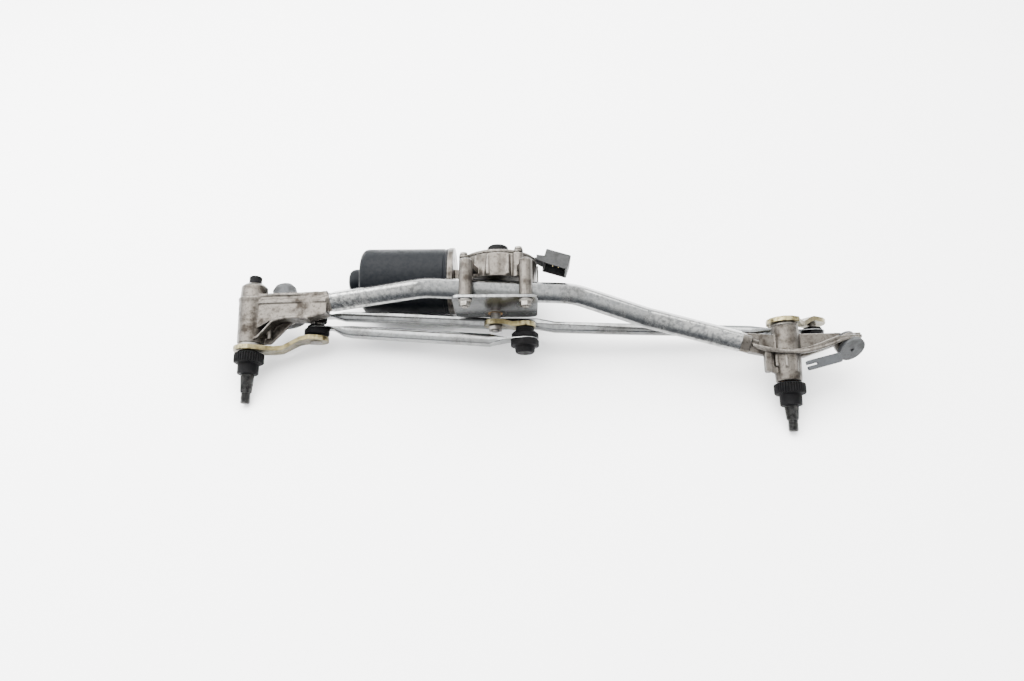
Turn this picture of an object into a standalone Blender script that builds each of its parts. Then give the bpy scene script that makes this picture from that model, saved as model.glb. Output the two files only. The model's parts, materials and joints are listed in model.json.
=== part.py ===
"""Windshield wiper linkage with its motor, built from its separate pieces.

A bent steel tube carries two cast spindle housings and a worm gear motor. The motor turns a
crank, one rod drives the left lever, and a second rod carries the motion to the right lever.

Sizes are in millimetres along three directions of the linkage: u runs from the left spindle to
the right one, v runs along the spindles away from their threaded tips, and w points out of the
side that faces up when the linkage lies on a floor. Every mesh is made in metres. An empty named
linkage tilts the whole linkage about u, so that it rests on both tips and on the motor flange.
"""
import math

import bmesh
import bpy
from mathutils import Matrix, Vector

MM = 0.001
GAP = 0.3                 # between two pieces that touch
FIT = 0.3                 # between a shaft and the bore that it turns in
ROUND = 24                # sides of a turned piece
ROUND_SMALL = 14          # sides of a small turned piece

# Spindles
SPINDLE_SPACING = 513.0
LEFT_U = -255.0
RIGHT_U = LEFT_U + SPINDLE_SPACING
LEFT_TIP_V = -57.5
RIGHT_TIP_V = -87.4
SPINDLE_RADIUS = 6.0
THREAD_RADIUS = SPINDLE_RADIUS - 1.4
THREAD_LENGTH = 10.2
LEFT_CONE_LENGTH = 17.8
RIGHT_CONE_LENGTH = 13.0
CONE_RADIUS_SMALL = SPINDLE_RADIUS - 0.6
CONE_RADIUS_LARGE = SPINDLE_RADIUS + 0.4
COLLAR_RADIUS = SPINDLE_RADIUS + 4.0
COLLAR_LENGTH = 11.0
CAP_RADIUS = SPINDLE_RADIUS + 8.3
CAP_LENGTH = 9.4
CAP_RIBS = 20
CAP_RIB_DEPTH = 0.8
BUSH_WALL = 2.0
BUSH_LENGTH = 14.0

# Housings
LEFT_BARREL_BOTTOM = 0.8
LEFT_BARREL_TOP = 58.5
LEFT_RING_V = 45.0
RIGHT_BARREL_BOTTOM = -41.6
RIGHT_BARREL_TOP = 11.5
BARREL_RADIUS = SPINDLE_RADIUS + 6.5
WASHER_RADIUS = SPINDLE_RADIUS + 6.0

# Motor and gearbox
SHAFT_U = -16.0           # output shaft
SHAFT_W = -5.0
OUTPUT_RADIUS = 5.0
CAN_RADIUS = 33.0
MOTOR_V = 39.0 + CAN_RADIUS   # motor axis, which runs along u
MOTOR_W = -35.0
CAN_LENGTH = 87.0
CAN_WALL = 1.5
CAN_RIGHT_U = -64.3
FLANGE_RADIUS = CAN_RADIUS + 1.0
FLANGE_THICKNESS = 6.0
ARMATURE_RADIUS = 3.0
ROTOR_LENGTH = 48.0
MAGNET_THICKNESS = 8.0
MAGNET_LENGTH = 50.0
ROTOR_RADIUS = CAN_RADIUS - CAN_WALL - GAP - MAGNET_THICKNESS - 5.2
BEARING_RADIUS = 9.0
GEAR_U = -13.0            # centre of the round gear housing
GEAR_W = -12.0
GEAR_HOUSING_RADIUS = 37.5
GEAR_HOUSING_BOTTOM = MOTOR_V - 15.2
GEAR_HOUSING_TOP = MOTOR_V + 8.0
NECK_RIGHT_U = GEAR_U + 39.0
NECK_HALF_WIDTH = 14.0
HOUSING_WALL = 3.5
COVER_THICKNESS = 3.0
WORM_RADIUS = 5.3
WORM_PITCH = 5.0
WORM_TURNS = 9
WHEEL_TEETH = 40
WHEEL_RADIUS = 24.4
WHEEL_THICKNESS = 9.0
BOSS_RADIUS = 10.3
BOSS_BOTTOM = 27.9
POST_RADIUS = 6.3
POST_W = 39.0
POST_U = (-42.0, 13.3)
BRACKET_TOP = 31.0
BRACKET_THICKNESS = 2.5
BOLT_RADIUS = 3.0
COVER_SCREW_RADIUS = 1.7
COVER_SCREW_ANGLES = (60, 150, 285)   # around the gear housing, in degrees
CONNECTOR = (43.5, MOTOR_V + 8.0, -7.0)
CONNECTOR_SIZE = (25.0, 14.0, 28.0)
CONNECTOR_WALL = 2.0
CONNECTOR_TURN = math.radians(-17)

# Crank, levers and rods
CRANK_RADIUS = 28.5
CRANK_THICKNESS = 4.6
CRANK_EYE_V = 15.3
CRANK_HUB_V = 18.0
NUT_THICKNESS = 4.2
LEVER_THICKNESS = 4.6
PIN_U = LEFT_U + 61.5     # double ball pin on the left lever
PIN_W = -24.0
RIGHT_BALL_U = RIGHT_U + 37.0
RIGHT_BALL_W = -30.0
LEFT_EYE_V = -4.5
LEFT_END_V = 8.2
RIGHT_EYE_V = 16.3
RIGHT_END_V = 24.7
PIN_RADIUS = 4.0
BALL_RADIUS = 5.5
ROD_1_RADIUS = 6.0
ROD_2_HEIGHT = 11.0
ROD_2_WIDTH = 12.0
PLATE_THICKNESS = 2.0
LOWER_BALL_V = 16.4       # balls of the left pin
UPPER_BALL_V = 29.2
CRANK_BALL_V = 1.8
RIGHT_BALL_V = 13.6
SOCKET_TOP_CRANK = 8.4    # mouths of the two closed sockets
SOCKET_TOP_RIGHT = 18.6
ROD_1_PLATE_V = 1.2
RIGHT_PLATE_V = 15.2

# Frame tube
TUBE_SIDE = 18.0
TUBE_WALL = 2.0
TUBE_CORNER = 3.6
TUBE_ROLL = math.radians(28)
TUBE_BEND_RADIUS = 70.0
TUBE_CORNERS = (
    (LEFT_U + 83.0, 39.6, 1.0),
    (LEFT_U + 173.0, 47.0, 19.0),
    (SHAFT_U + 74.0, 40.2, 19.0),
    (RIGHT_U - 132.0, 19.6, 9.0),
    (RIGHT_U - 44.0, -2.8, 3.0),
)
SPIGOT_LENGTH = 24.0

# Rubber mounts
LEFT_MOUNT = (LEFT_U + 29.0, 45.0, -25.0)
LEFT_MOUNT_LEAN = math.radians(13)
RIGHT_MOUNT = (RIGHT_U + 59.0, -10.0, 3.0)
RIGHT_MOUNT_NORMAL = (0.25, -0.80, 0.55)

COLOURS = {
    "cast": ((0.55, 0.54, 0.52), 0.45, 0.9),
    "zinc": ((0.62, 0.63, 0.62), 0.35, 1.0),
    "chromate": ((0.55, 0.50, 0.36), 0.40, 1.0),
    "steel": ((0.35, 0.35, 0.35), 0.35, 1.0),
    "dark_steel": ((0.05, 0.055, 0.06), 0.45, 0.6),
    "can_paint": ((0.02, 0.025, 0.03), 0.38, 0.0),
    "black_plastic": ((0.02, 0.02, 0.022), 0.5, 0.0),
    "connector_plastic": ((0.05, 0.055, 0.055), 0.55, 0.0),
    "rubber": ((0.16, 0.17, 0.17), 0.75, 0.0),
    "slate_plastic": ((0.07, 0.085, 0.10), 0.6, 0.0),
    "brass": ((0.65, 0.48, 0.20), 0.35, 1.0),
    "bronze": ((0.45, 0.30, 0.16), 0.45, 1.0),
    "copper": ((0.72, 0.38, 0.22), 0.35, 1.0),
    "magnet": ((0.09, 0.09, 0.095), 0.7, 0.0),
    "gear_plastic": ((0.75, 0.72, 0.62), 0.5, 0.0),
}


# ---------------------------------------------------------------- scene, materials and bodies

def clear_scene():
    """Remove the objects that the file started with."""
    for item in list(bpy.data.objects):
        bpy.data.objects.remove(item, do_unlink=True)


def material(name):
    """Return the named Principled material, made on first use."""
    found = bpy.data.materials.get(name)
    if found:
        return found
    colour, roughness, metallic = COLOURS[name]
    made = bpy.data.materials.new(name)
    made.use_nodes = True
    shader = made.node_tree.nodes["Principled BSDF"]
    shader.inputs["Base Color"].default_value = (*colour, 1.0)
    shader.inputs["Roughness"].default_value = roughness
    shader.inputs["Metallic"].default_value = metallic
    made.diffuse_color = (*colour, 1.0)
    return made


def make_empty(name, parent=None, place=(0.0, 0.0, 0.0)):
    """Make an empty at a place given in millimetres in its parent's frame."""
    empty = bpy.data.objects.new(name, None)
    empty.empty_display_size = 0.02
    empty.parent = parent
    empty.location = Vector(place) * MM
    bpy.context.collection.objects.link(empty)
    return empty


def finish_mesh(name, mesh_data, finish, parent, smooth=True):
    """Turn a bmesh in millimetres into a named object in metres."""
    bmesh.ops.recalc_face_normals(mesh_data, faces=mesh_data.faces)
    bmesh.ops.scale(mesh_data, vec=(MM, MM, MM), verts=mesh_data.verts)
    mesh = bpy.data.meshes.new(name)
    mesh_data.to_mesh(mesh)
    mesh_data.free()
    if smooth:
        mesh.shade_smooth()
        mesh.set_sharp_from_angle(angle=math.radians(35))
    item = bpy.data.objects.new(name, mesh)
    item.parent = parent
    mesh.materials.append(material(finish))
    bpy.context.collection.objects.link(item)
    return item


# ---------------------------------------------------------------- shapes

def axis_matrix(at, direction):
    """Place a shape made along +Z at a point, along a direction."""
    turn = Vector((0.0, 0.0, 1.0)).rotation_difference(Vector(direction)).to_matrix().to_4x4()
    return Matrix.Translation(Vector(at)) @ turn


def turned_mesh(profile, sides=ROUND, at=(0.0, 0.0, 0.0), along=(0.0, 1.0, 0.0)):
    """Turn a profile of (radius, height) points about an axis.

    A profile that starts and ends on the axis is a solid, and one that stays off it is a ring.
    """
    shape = bmesh.new()
    place = axis_matrix(at, along)
    solid = profile[0][0] < 1e-6
    rows = []
    for radius, height in profile:
        if radius < 1e-6:
            continue
        row = []
        for step in range(sides):
            angle = math.tau * (step + 0.5) / sides
            point = Vector((radius * math.cos(angle), radius * math.sin(angle), height))
            row.append(shape.verts.new(place @ point))
        rows.append(row)
    for low, high in zip(rows, rows[1:]):
        join_rows(shape, low, high)
    if solid:
        close_end(shape, rows[0], place @ Vector((0.0, 0.0, profile[0][1])))
        close_end(shape, rows[-1], place @ Vector((0.0, 0.0, profile[-1][1])))
    else:
        join_rows(shape, rows[-1], rows[0])
    return shape


def close_end(shape, row, centre):
    """Close a round end with one face if it is flat, or with a fan to its centre."""
    middle = sum((vertex.co for vertex in row), Vector()) / len(row)
    if (middle - centre).length < 1e-4:
        shape.faces.new(row)
        return
    tip = shape.verts.new(centre)
    for step in range(len(row)):
        shape.faces.new((row[step], row[(step + 1) % len(row)], tip))


def join_rows(shape, low, high):
    """Bridge two rows of the same length with quads."""
    for step in range(len(low)):
        after = (step + 1) % len(low)
        shape.faces.new((low[step], low[after], high[after], high[step]))


def turned(name, profile, finish, parent, **place):
    """Make a turned piece."""
    return finish_mesh(name, turned_mesh(profile, **place), finish, parent)


def ring_profile(inner, outer, low, high):
    """Profile of a plain bush or washer."""
    return [(inner, low), (outer, low), (outer, high), (inner, high)]


def disc_profile(radius, low, high, chamfer=0.0):
    """Profile of a solid round bar, with an optional chamfer at its high end."""
    if chamfer == 0.0:
        return [(0.0, low), (radius, low), (radius, high), (0.0, high)]
    return [(0.0, low), (radius, low), (radius, high - chamfer), (radius - chamfer, high), (0.0, high)]


def loft_mesh(rings):
    """Join rings of equal length into one closed body with flat ends."""
    shape = bmesh.new()
    rows = []
    for ring in rings:
        rows.append([shape.verts.new(point) for point in ring])
    count = len(rows[0])
    for low, high in zip(rows, rows[1:]):
        for step in range(count):
            after = (step + 1) % count
            shape.faces.new((low[step], low[after], high[after], high[step]))
    shape.faces.new(reversed(rows[0]))
    shape.faces.new(rows[-1])
    return shape


def prism_mesh(outline, low, high):
    """Extrude an outline of (u, w) points along v."""
    lower = [Vector((u, low, w)) for u, w in outline]
    upper = [Vector((u, high, w)) for u, w in outline]
    return loft_mesh([lower, upper])


def rounded_box_mesh(size, radius, place=Matrix()):
    """Make a box with rounded edges along its third axis, moved by a matrix."""
    outline = rounded_outline(size[0], size[1], radius, 3)
    half = size[2] / 2
    lower = [place @ Vector((x, y, -half)) for x, y in outline]
    upper = [place @ Vector((x, y, half)) for x, y in outline]
    return loft_mesh([lower, upper])


def rounded_outline(width, height, radius, steps):
    """Outline of a rectangle with round corners, centred on the origin."""
    points = []
    corners = ((1, 1, 0), (-1, 1, 90), (-1, -1, 180), (1, -1, 270))
    for side, level, start in corners:
        centre = Vector((side * (width / 2 - radius), level * (height / 2 - radius)))
        for step in range(steps + 1):
            angle = math.radians(start + 90 * step / steps)
            points.append(centre + radius * Vector((math.cos(angle), math.sin(angle))))
    return [tuple(point) for point in points]


def circle_outline(u, w, radius, sides=32):
    """Outline of a circle in the (u, w) plane."""
    points = []
    for step in range(sides):
        angle = math.tau * step / sides
        points.append((u + radius * math.cos(angle), w + radius * math.sin(angle)))
    return points


# ---------------------------------------------------------------- joining and cutting

def helper(item):
    """Mark an object as a cutter or a tool that isn't a piece of its own."""
    item.hide_render = True
    item.display_type = "WIRE"
    return item


def combine(item, tool, operation):
    """Add a Boolean modifier that keeps the exact solver."""
    helper(tool)
    modifier = item.modifiers.new(operation.lower(), "BOOLEAN")
    modifier.operation = operation
    modifier.solver = "EXACT"
    modifier.object = tool


def fuse(item, shape):
    """Join another shape to a piece, so that both are one body."""
    tool = finish_mesh(item.name + "_added", shape, "cast", item.parent)
    combine(item, tool, "UNION")


def cut(item, shape):
    """Cut a shape out of a piece."""
    tool = finish_mesh(item.name + "_cutter", shape, "cast", item.parent)
    combine(item, tool, "DIFFERENCE")


# ---------------------------------------------------------------- frame tube

def filleted_path(corners, radius, steps=4):
    """Round the corners of a path with arcs and return its points."""
    points = [Vector(corners[0])]
    for before, corner, after in zip(corners, corners[1:], corners[2:]):
        corner = Vector(corner)
        towards_before = (Vector(before) - corner).normalized()
        towards_after = (Vector(after) - corner).normalized()
        half_angle = towards_before.angle(towards_after) / 2
        reach = radius / math.tan(half_angle)
        middle = (towards_before + towards_after).normalized()
        centre = corner + middle * (radius / math.sin(half_angle))
        start = corner + towards_before * reach - centre
        end = corner + towards_after * reach - centre
        turn = start.rotation_difference(end)
        for step in range(steps + 1):
            partial = Matrix.Rotation(turn.angle * step / steps, 3, turn.axis)
            points.append(centre + partial @ start)
    points.append(Vector(corners[-1]))
    return points


def path_frame(points, index):
    """Direction of a path at a point, with the two directions across it."""
    before = points[max(index - 1, 0)]
    after = points[min(index + 1, len(points) - 1)]
    along = (after - before).normalized()
    side = along.cross(Vector((0.0, 0.0, 1.0))).normalized()
    rise = side.cross(along).normalized()
    turn = Matrix.Rotation(TUBE_ROLL, 3, along)
    return along, turn @ side, turn @ rise


def section_rings(points, side_length, corner):
    """Rings of a rounded square that follows a path."""
    outline = rounded_outline(side_length, side_length, corner, 2)
    rings = []
    for index, point in enumerate(points):
        _, side, rise = path_frame(points, index)
        rings.append([point + side * x + rise * y for x, y in outline])
    return rings


def frame_tube(parent):
    """Bent square tube that carries the housings and the motor."""
    points = filleted_path(TUBE_CORNERS, TUBE_BEND_RADIUS)
    outer = section_rings(points, TUBE_SIDE, TUBE_CORNER)
    inner_side = TUBE_SIDE - 2 * TUBE_WALL
    inner = section_rings(points, inner_side, TUBE_CORNER - TUBE_WALL)
    shape = bmesh.new()
    outer_rows = [[shape.verts.new(point) for point in ring] for ring in outer]
    inner_rows = [[shape.verts.new(point) for point in ring] for ring in inner]
    loop = outer_rows + inner_rows[::-1]
    for low, high in zip(loop, loop[1:] + loop[:1]):
        join_rows(shape, low, high)
    return finish_mesh("frame_tube", shape, "zinc", parent)


def spigot_mesh(at_end):
    """Square bar that fills the end of the tube and reaches back into its housing."""
    points = filleted_path(TUBE_CORNERS, TUBE_BEND_RADIUS)
    index = 0 if at_end == "left" else len(points) - 1
    along, side, rise = path_frame(points, index)
    inwards = along if at_end == "left" else -along
    width = TUBE_SIDE - 2 * TUBE_WALL - 2 * GAP
    outline = rounded_outline(width, width, 1.2, 2)
    rings = []
    for reach in (-16.0, SPIGOT_LENGTH):
        centre = points[index] + inwards * reach
        rings.append([centre + side * x + rise * y for x, y in outline])
    return loft_mesh(rings)


def socket_block_mesh(at_end, length, side_length):
    """Block of casting that the end of the tube butts against."""
    points = filleted_path(TUBE_CORNERS, TUBE_BEND_RADIUS)
    index = 0 if at_end == "left" else len(points) - 1
    along, side, rise = path_frame(points, index)
    outwards = -along if at_end == "left" else along
    outline = rounded_outline(side_length, side_length, TUBE_CORNER, 2)
    rings = []
    for reach in (GAP, length):
        centre = points[index] + outwards * reach
        rings.append([centre + side * x + rise * y for x, y in outline])
    return loft_mesh(rings)


# ---------------------------------------------------------------- spindle housings

def bore_radius():
    """Radius of the bore that the spindle bushes sit in."""
    return SPINDLE_RADIUS + FIT + BUSH_WALL + GAP


def wall_mesh(points, half_width):
    """Upright wall between (u, low v, high v, w) stations."""
    rings = []
    for u, low, high, w in points:
        ring = (
            Vector((u, low, w - half_width)),
            Vector((u, low, w + half_width)),
            Vector((u, high, w + half_width)),
            Vector((u, high, w - half_width)),
        )
        rings.append(ring)
    return loft_mesh(rings)


def left_housing(parent, left_w):
    """Cast housing of the left spindle, with its arm, its gusset and the eye of the rubber mount."""
    centre = (LEFT_U, 0.0, left_w)
    profile = [
        (0.0, LEFT_BARREL_BOTTOM),
        (BARREL_RADIUS, LEFT_BARREL_BOTTOM),
        (BARREL_RADIUS + 1.4, LEFT_RING_V - 4),
        (BARREL_RADIUS + 2.0, LEFT_RING_V - 1),
        (BARREL_RADIUS + 2.0, LEFT_RING_V + 1),
        (BARREL_RADIUS + 0.7, LEFT_RING_V + 1.4),
        (BARREL_RADIUS + 0.2, LEFT_BARREL_TOP),
        (BARREL_RADIUS - 4.3, LEFT_BARREL_TOP + 3.5),
        (0.0, LEFT_BARREL_TOP + 3.5),
    ]
    housing = turned("left_spindle_housing", profile, "cast", parent, at=centre)
    end = TUBE_CORNERS[0]
    arm = [
        (LEFT_U + 4, 12.0, 50.0, left_w + 1),
        (LEFT_U + 23, 21.5, 48.5, left_w + 5),
        (LEFT_U + 42, 24.0, 47.5, left_w + 8),
        (LEFT_U + 62, 22.0, 46.5, end[2] - 1),
        (end[0] - 5, 26.0, 48.5, end[2]),
    ]
    fuse(housing, wall_mesh(arm, 8.0))
    rib = [
        (LEFT_U + 4, LEFT_RING_V - 6.0, LEFT_RING_V - 2.0, left_w + 1),
        (end[0] - 6, LEFT_RING_V - 8.0, LEFT_RING_V - 4.0, end[2]),
    ]
    fuse(housing, wall_mesh(rib, 9.6))
    gusset = [
        (LEFT_U + 4, LEFT_BARREL_BOTTOM + 0.6, 26.0, left_w - 6),
        (LEFT_U + 19, LEFT_BARREL_BOTTOM + 1.0, 26.0, left_w - 5),
        (LEFT_U + 40, 22.0, 30.0, left_w - 1),
    ]
    fuse(housing, wall_mesh(gusset, 1.6))
    lean = mount_direction()
    fuse(housing, turned_mesh(disc_profile(14.6, -8.0, 5.0), at=LEFT_MOUNT, along=lean))
    fuse(housing, socket_block_mesh("left", 9.0, TUBE_SIDE - 1.0))
    fuse(housing, spigot_mesh("left"))
    bore = disc_profile(bore_radius(), LEFT_BARREL_BOTTOM - 2, LEFT_BARREL_TOP + 0.5)
    cut(housing, turned_mesh(bore, at=centre))
    tail = disc_profile(SPINDLE_RADIUS + 2 * FIT, LEFT_BARREL_TOP - 1, LEFT_BARREL_TOP + 6)
    cut(housing, turned_mesh(tail, at=centre))
    cut(housing, turned_mesh(left_mount_profile(GAP), at=LEFT_MOUNT, along=lean))
    return housing


def right_housing(parent):
    """Cast housing of the right spindle, with its curved flange and the arm of the rubber mount."""
    centre = (RIGHT_U, 0.0, 0.0)
    profile = [
        (0.0, RIGHT_BARREL_BOTTOM),
        (BARREL_RADIUS - 1.4, RIGHT_BARREL_BOTTOM),
        (BARREL_RADIUS - 0.6, RIGHT_BARREL_BOTTOM + 1.2),
        (BARREL_RADIUS + 0.3, -20.0),
        (BARREL_RADIUS, RIGHT_BARREL_TOP),
        (0.0, RIGHT_BARREL_TOP),
    ]
    housing = turned("right_spindle_housing", profile, "cast", parent, at=centre)
    end = TUBE_CORNERS[-1]
    web = [
        (end[0] + 7, -14.0, 4.5, end[2]),
        (RIGHT_U - 12, -18.0, 3.0, 1.0),
        (RIGHT_U + 16, -18.0, 4.0, 1.0),
        (RIGHT_U + 44, -8.0, 4.5, 1.0),
        (RIGHT_MOUNT[0] + 10, 0.0, 5.0, 1.0),
    ]
    fuse(housing, wall_mesh(web, 4.0))
    fuse(housing, curved_flange_mesh())
    fuse(housing, socket_block_mesh("right", 9.0, TUBE_SIDE - 1.0))
    fuse(housing, spigot_mesh("right"))
    lug = rounded_box_mesh((6.0, 19.0, 7.0), 1.5, Matrix.Translation((RIGHT_U - 20.0, -24.0, 6.0)))
    fuse(housing, lug)
    lug_web = [(RIGHT_U - 21, -31.0, -13.0, 4.0), (RIGHT_U - 8, -36.0, -14.0, 2.0)]
    fuse(housing, wall_mesh(lug_web, 2.2))
    normal = Vector(RIGHT_MOUNT_NORMAL).normalized()
    fuse(housing, turned_mesh(disc_profile(12.0, -9.5, -2.0), at=RIGHT_MOUNT, along=normal))
    bore = disc_profile(bore_radius(), RIGHT_BARREL_BOTTOM - 2, RIGHT_BARREL_TOP + 2)
    cut(housing, turned_mesh(bore, at=centre))
    cut(housing, turned_mesh(right_mount_profile(GAP), at=RIGHT_MOUNT, along=normal))
    return housing


def curved_flange_mesh():
    """Wide flange along the lower edge of the right web, bowed like the keel of a boat."""
    rings = []
    left = TUBE_CORNERS[-1][0] + 8
    right = RIGHT_MOUNT[0] + 10
    steps = 12
    for step in range(steps + 1):
        part = step / steps
        u = left + (right - left) * part
        bow = math.sin(math.pi * min(1.0, part / 0.75) ** 0.85) if part < 0.75 else 0.0
        keel = -8.5 - 9.0 * bow + 13.0 * max(0.0, part - 0.35) ** 1.2
        reach = 6.5 + 10.0 * math.sin(math.pi * part) ** 0.8
        ring = (
            Vector((u, keel, 1.0 - reach * 0.6)),
            Vector((u, keel, 1.0 + reach)),
            Vector((u, keel + 3.2, 1.0 + reach)),
            Vector((u, keel + 3.2, 1.0 - reach * 0.6)),
        )
        rings.append(ring)
    return loft_mesh(rings)


def spindle_bushes(side, parent, w, low, high):
    """Two sintered bushes in a barrel."""
    centre = ((LEFT_U if side == "left" else RIGHT_U), 0.0, w)
    inner = SPINDLE_RADIUS + FIT
    outer = inner + BUSH_WALL
    starts = {"lower": low + 0.5, "upper": high - 0.5 - BUSH_LENGTH}
    for level, start in starts.items():
        name = f"{side}_bush_{level}"
        bush = ring_profile(inner, outer, start, start + BUSH_LENGTH)
        turned(name, bush, "bronze", parent, sides=ROUND_SMALL, at=centre)


# ---------------------------------------------------------------- rubber mounts

def mount_direction():
    """Axis of the left rubber mount, which leans outwards."""
    return (-math.sin(LEFT_MOUNT_LEAN), math.cos(LEFT_MOUNT_LEAN), 0.0)


def left_mount_profile(grow=0.0):
    """Profile of the left grommet: a flat disc, a waist and a domed head."""
    low = -21.0
    profile = [
        (0.0, low - grow),
        (15.2 + grow, low - grow),
        (15.2 + grow, low + 4.5 + grow),
        (10.5 + grow, low + 5.0 + grow),
        (10.5 + grow, 5.6 - grow),
        (14.0 + grow, 5.6 - grow),
        (14.0 + grow, 8.6 + grow),
        (12.0 + grow, 10.0 + grow),
        (11.5 + grow, 16.0 + grow),
        (8.0 + grow, 20.5 + grow),
        (0.0, 22.0 + grow),
    ]
    return profile


def right_mount_profile(grow=0.0):
    """Profile of the right grommet: two discs and the waist between them."""
    return [
        (0.0, -12.6 - grow),
        (11.0 + grow, -12.6 - grow),
        (11.0 + grow, -10.0 + grow),
        (7.0 + grow, -9.5 + grow),
        (7.0 + grow, -2.0 - grow),
        (13.0 + grow, -1.4 - grow),
        (13.0 + grow, 2.6 + grow),
        (0.0, 2.6 + grow),
    ]


def rubber_mounts(parent):
    """Rubber grommets, their steel sleeve and the plastic clip of the right one."""
    lean = mount_direction()
    left = turned("left_rubber_mount", left_mount_profile(), "rubber", parent, at=LEFT_MOUNT, along=lean)
    hole = disc_profile(5.0 + GAP, -23.0, 14.0)
    cut(left, turned_mesh(hole, sides=ROUND_SMALL, at=LEFT_MOUNT, along=lean))
    sleeve = ring_profile(3.4, 5.0, -20.6, 13.6)
    turned("left_mount_sleeve", sleeve, "steel", parent, sides=ROUND_SMALL, at=LEFT_MOUNT, along=lean)
    normal = Vector(RIGHT_MOUNT_NORMAL).normalized()
    place = {"at": RIGHT_MOUNT, "along": normal}
    right = turned("right_rubber_mount", right_mount_profile(), "rubber", parent, **place)
    cut(right, turned_mesh(disc_profile(1.8, -14.0, 4.0), sides=ROUND_SMALL, **place))
    right_clip(parent)


def right_clip(parent):
    """Plastic strip that runs from the right grommet to the barrel, forked at its end."""
    start = Vector((RIGHT_U + BARREL_RADIUS + 1.0, -29.0, 12.0))
    end = Vector((RIGHT_MOUNT[0] - 13.5, -20.5, 12.0))
    along = (end - start).normalized()
    rise = Vector((0.0, 0.0, 1.0)).cross(along).normalized()
    turn = Matrix((along, rise, Vector((0.0, 0.0, 1.0)))).transposed().to_4x4()
    place = Matrix.Translation((start + end) / 2) @ turn
    length = (end - start).length
    strip = rounded_box_mesh((length, 9.0, 3.0), 1.5, place)
    clip = finish_mesh("right_mount_clip", strip, "slate_plastic", parent)
    slot = Matrix.Translation(start + along * 4.0) @ turn
    cut(clip, rounded_box_mesh((12.0, 1.8, 6.0), 0.6, slot))


# ---------------------------------------------------------------- gearbox and motor

def gear_housing(parent):
    """Cast gear housing with the motor flange, the output boss and the two mounting posts."""
    outline = circle_outline(GEAR_U, GEAR_W, GEAR_HOUSING_RADIUS)
    housing = finish_mesh(
        "gearbox_housing", prism_mesh(outline, GEAR_HOUSING_BOTTOM, GEAR_HOUSING_TOP), "cast", parent)
    neck_left = CAN_RIGHT_U + FLANGE_THICKNESS - 1
    neck_top = GEAR_HOUSING_TOP - 0.4
    neck_low = GEAR_HOUSING_BOTTOM + 0.2
    neck = [(neck_left, neck_low, neck_top, MOTOR_W), (NECK_RIGHT_U, neck_low, neck_top, MOTOR_W)]
    fuse(housing, wall_mesh(neck, NECK_HALF_WIDTH))
    flange = disc_profile(FLANGE_RADIUS, CAN_RIGHT_U + GAP, CAN_RIGHT_U + FLANGE_THICKNESS)
    fuse(housing, turned_mesh(flange, sides=40, at=(0.0, MOTOR_V, MOTOR_W), along=(1.0, 0.0, 0.0)))
    boss = disc_profile(BOSS_RADIUS, BOSS_BOTTOM, GEAR_HOUSING_BOTTOM + 2)
    fuse(housing, turned_mesh(boss, at=(SHAFT_U, 0.0, SHAFT_W)))
    for u in POST_U:
        post = disc_profile(POST_RADIUS, BRACKET_TOP + GAP, GEAR_HOUSING_BOTTOM + 11, 1.5)
        fuse(housing, turned_mesh(post, sides=ROUND_SMALL, at=(u, 0.0, POST_W)))
        fuse(housing, post_arm_mesh(u))
    for angle in COVER_SCREW_ANGLES:
        spot = cover_screw_spot(angle)
        boss = disc_profile(4.6, GEAR_HOUSING_BOTTOM + 4, GEAR_HOUSING_TOP - 0.2)
        fuse(housing, turned_mesh(boss, sides=ROUND_SMALL, at=spot))
    cut_gear_housing(housing)
    return housing


def post_arm_mesh(u):
    """Arm that carries a mounting post in front of the gear housing."""
    inwards = GEAR_U + (u - GEAR_U) * 0.75
    back = GEAR_W + 26.0
    outline = ((u - 4.5, POST_W), (u + 4.5, POST_W), (inwards + 5.0, back), (inwards - 5.0, back))
    return prism_mesh(outline, GEAR_HOUSING_BOTTOM + 3.4, GEAR_HOUSING_BOTTOM + 9.5)


def cut_gear_housing(housing):
    """Hollow the gear housing for the wheel, the worm, the shaft and the bolts."""
    pocket = circle_outline(GEAR_U, GEAR_W, GEAR_HOUSING_RADIUS - HOUSING_WALL)
    cut(housing, prism_mesh(pocket, GEAR_HOUSING_BOTTOM + HOUSING_WALL, GEAR_HOUSING_TOP + 2))
    motor = {"at": (0.0, MOTOR_V, MOTOR_W), "along": (1.0, 0.0, 0.0)}
    cut(housing, turned_mesh(disc_profile(6.6, CAN_RIGHT_U - 2, 23.0), sides=ROUND_SMALL, **motor))
    seat = disc_profile(BEARING_RADIUS + GAP, CAN_RIGHT_U - 2, CAN_RIGHT_U + FLANGE_THICKNESS + 3)
    cut(housing, turned_mesh(seat, sides=ROUND_SMALL, **motor))
    output = disc_profile(OUTPUT_RADIUS + FIT + BUSH_WALL + GAP, BOSS_BOTTOM - 2, GEAR_HOUSING_BOTTOM + 5)
    cut(housing, turned_mesh(output, sides=ROUND_SMALL, at=(SHAFT_U, 0.0, SHAFT_W)))
    for u in POST_U:
        hole = disc_profile(BOLT_RADIUS + GAP, BRACKET_TOP - 2, GEAR_HOUSING_BOTTOM + 2)
        cut(housing, turned_mesh(hole, sides=12, at=(u, 0.0, POST_W)))
    for angle in COVER_SCREW_ANGLES:
        hole = disc_profile(COVER_SCREW_RADIUS + GAP, GEAR_HOUSING_TOP - 9, GEAR_HOUSING_TOP + 2)
        cut(housing, turned_mesh(hole, sides=12, at=cover_screw_spot(angle)))


def cover_screw_spot(angle):
    """Place of a cover screw."""
    reach = GEAR_HOUSING_RADIUS + 1.5
    turn = math.radians(angle)
    return (GEAR_U + reach * math.cos(turn), 0.0, GEAR_W + reach * math.sin(turn))


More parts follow.
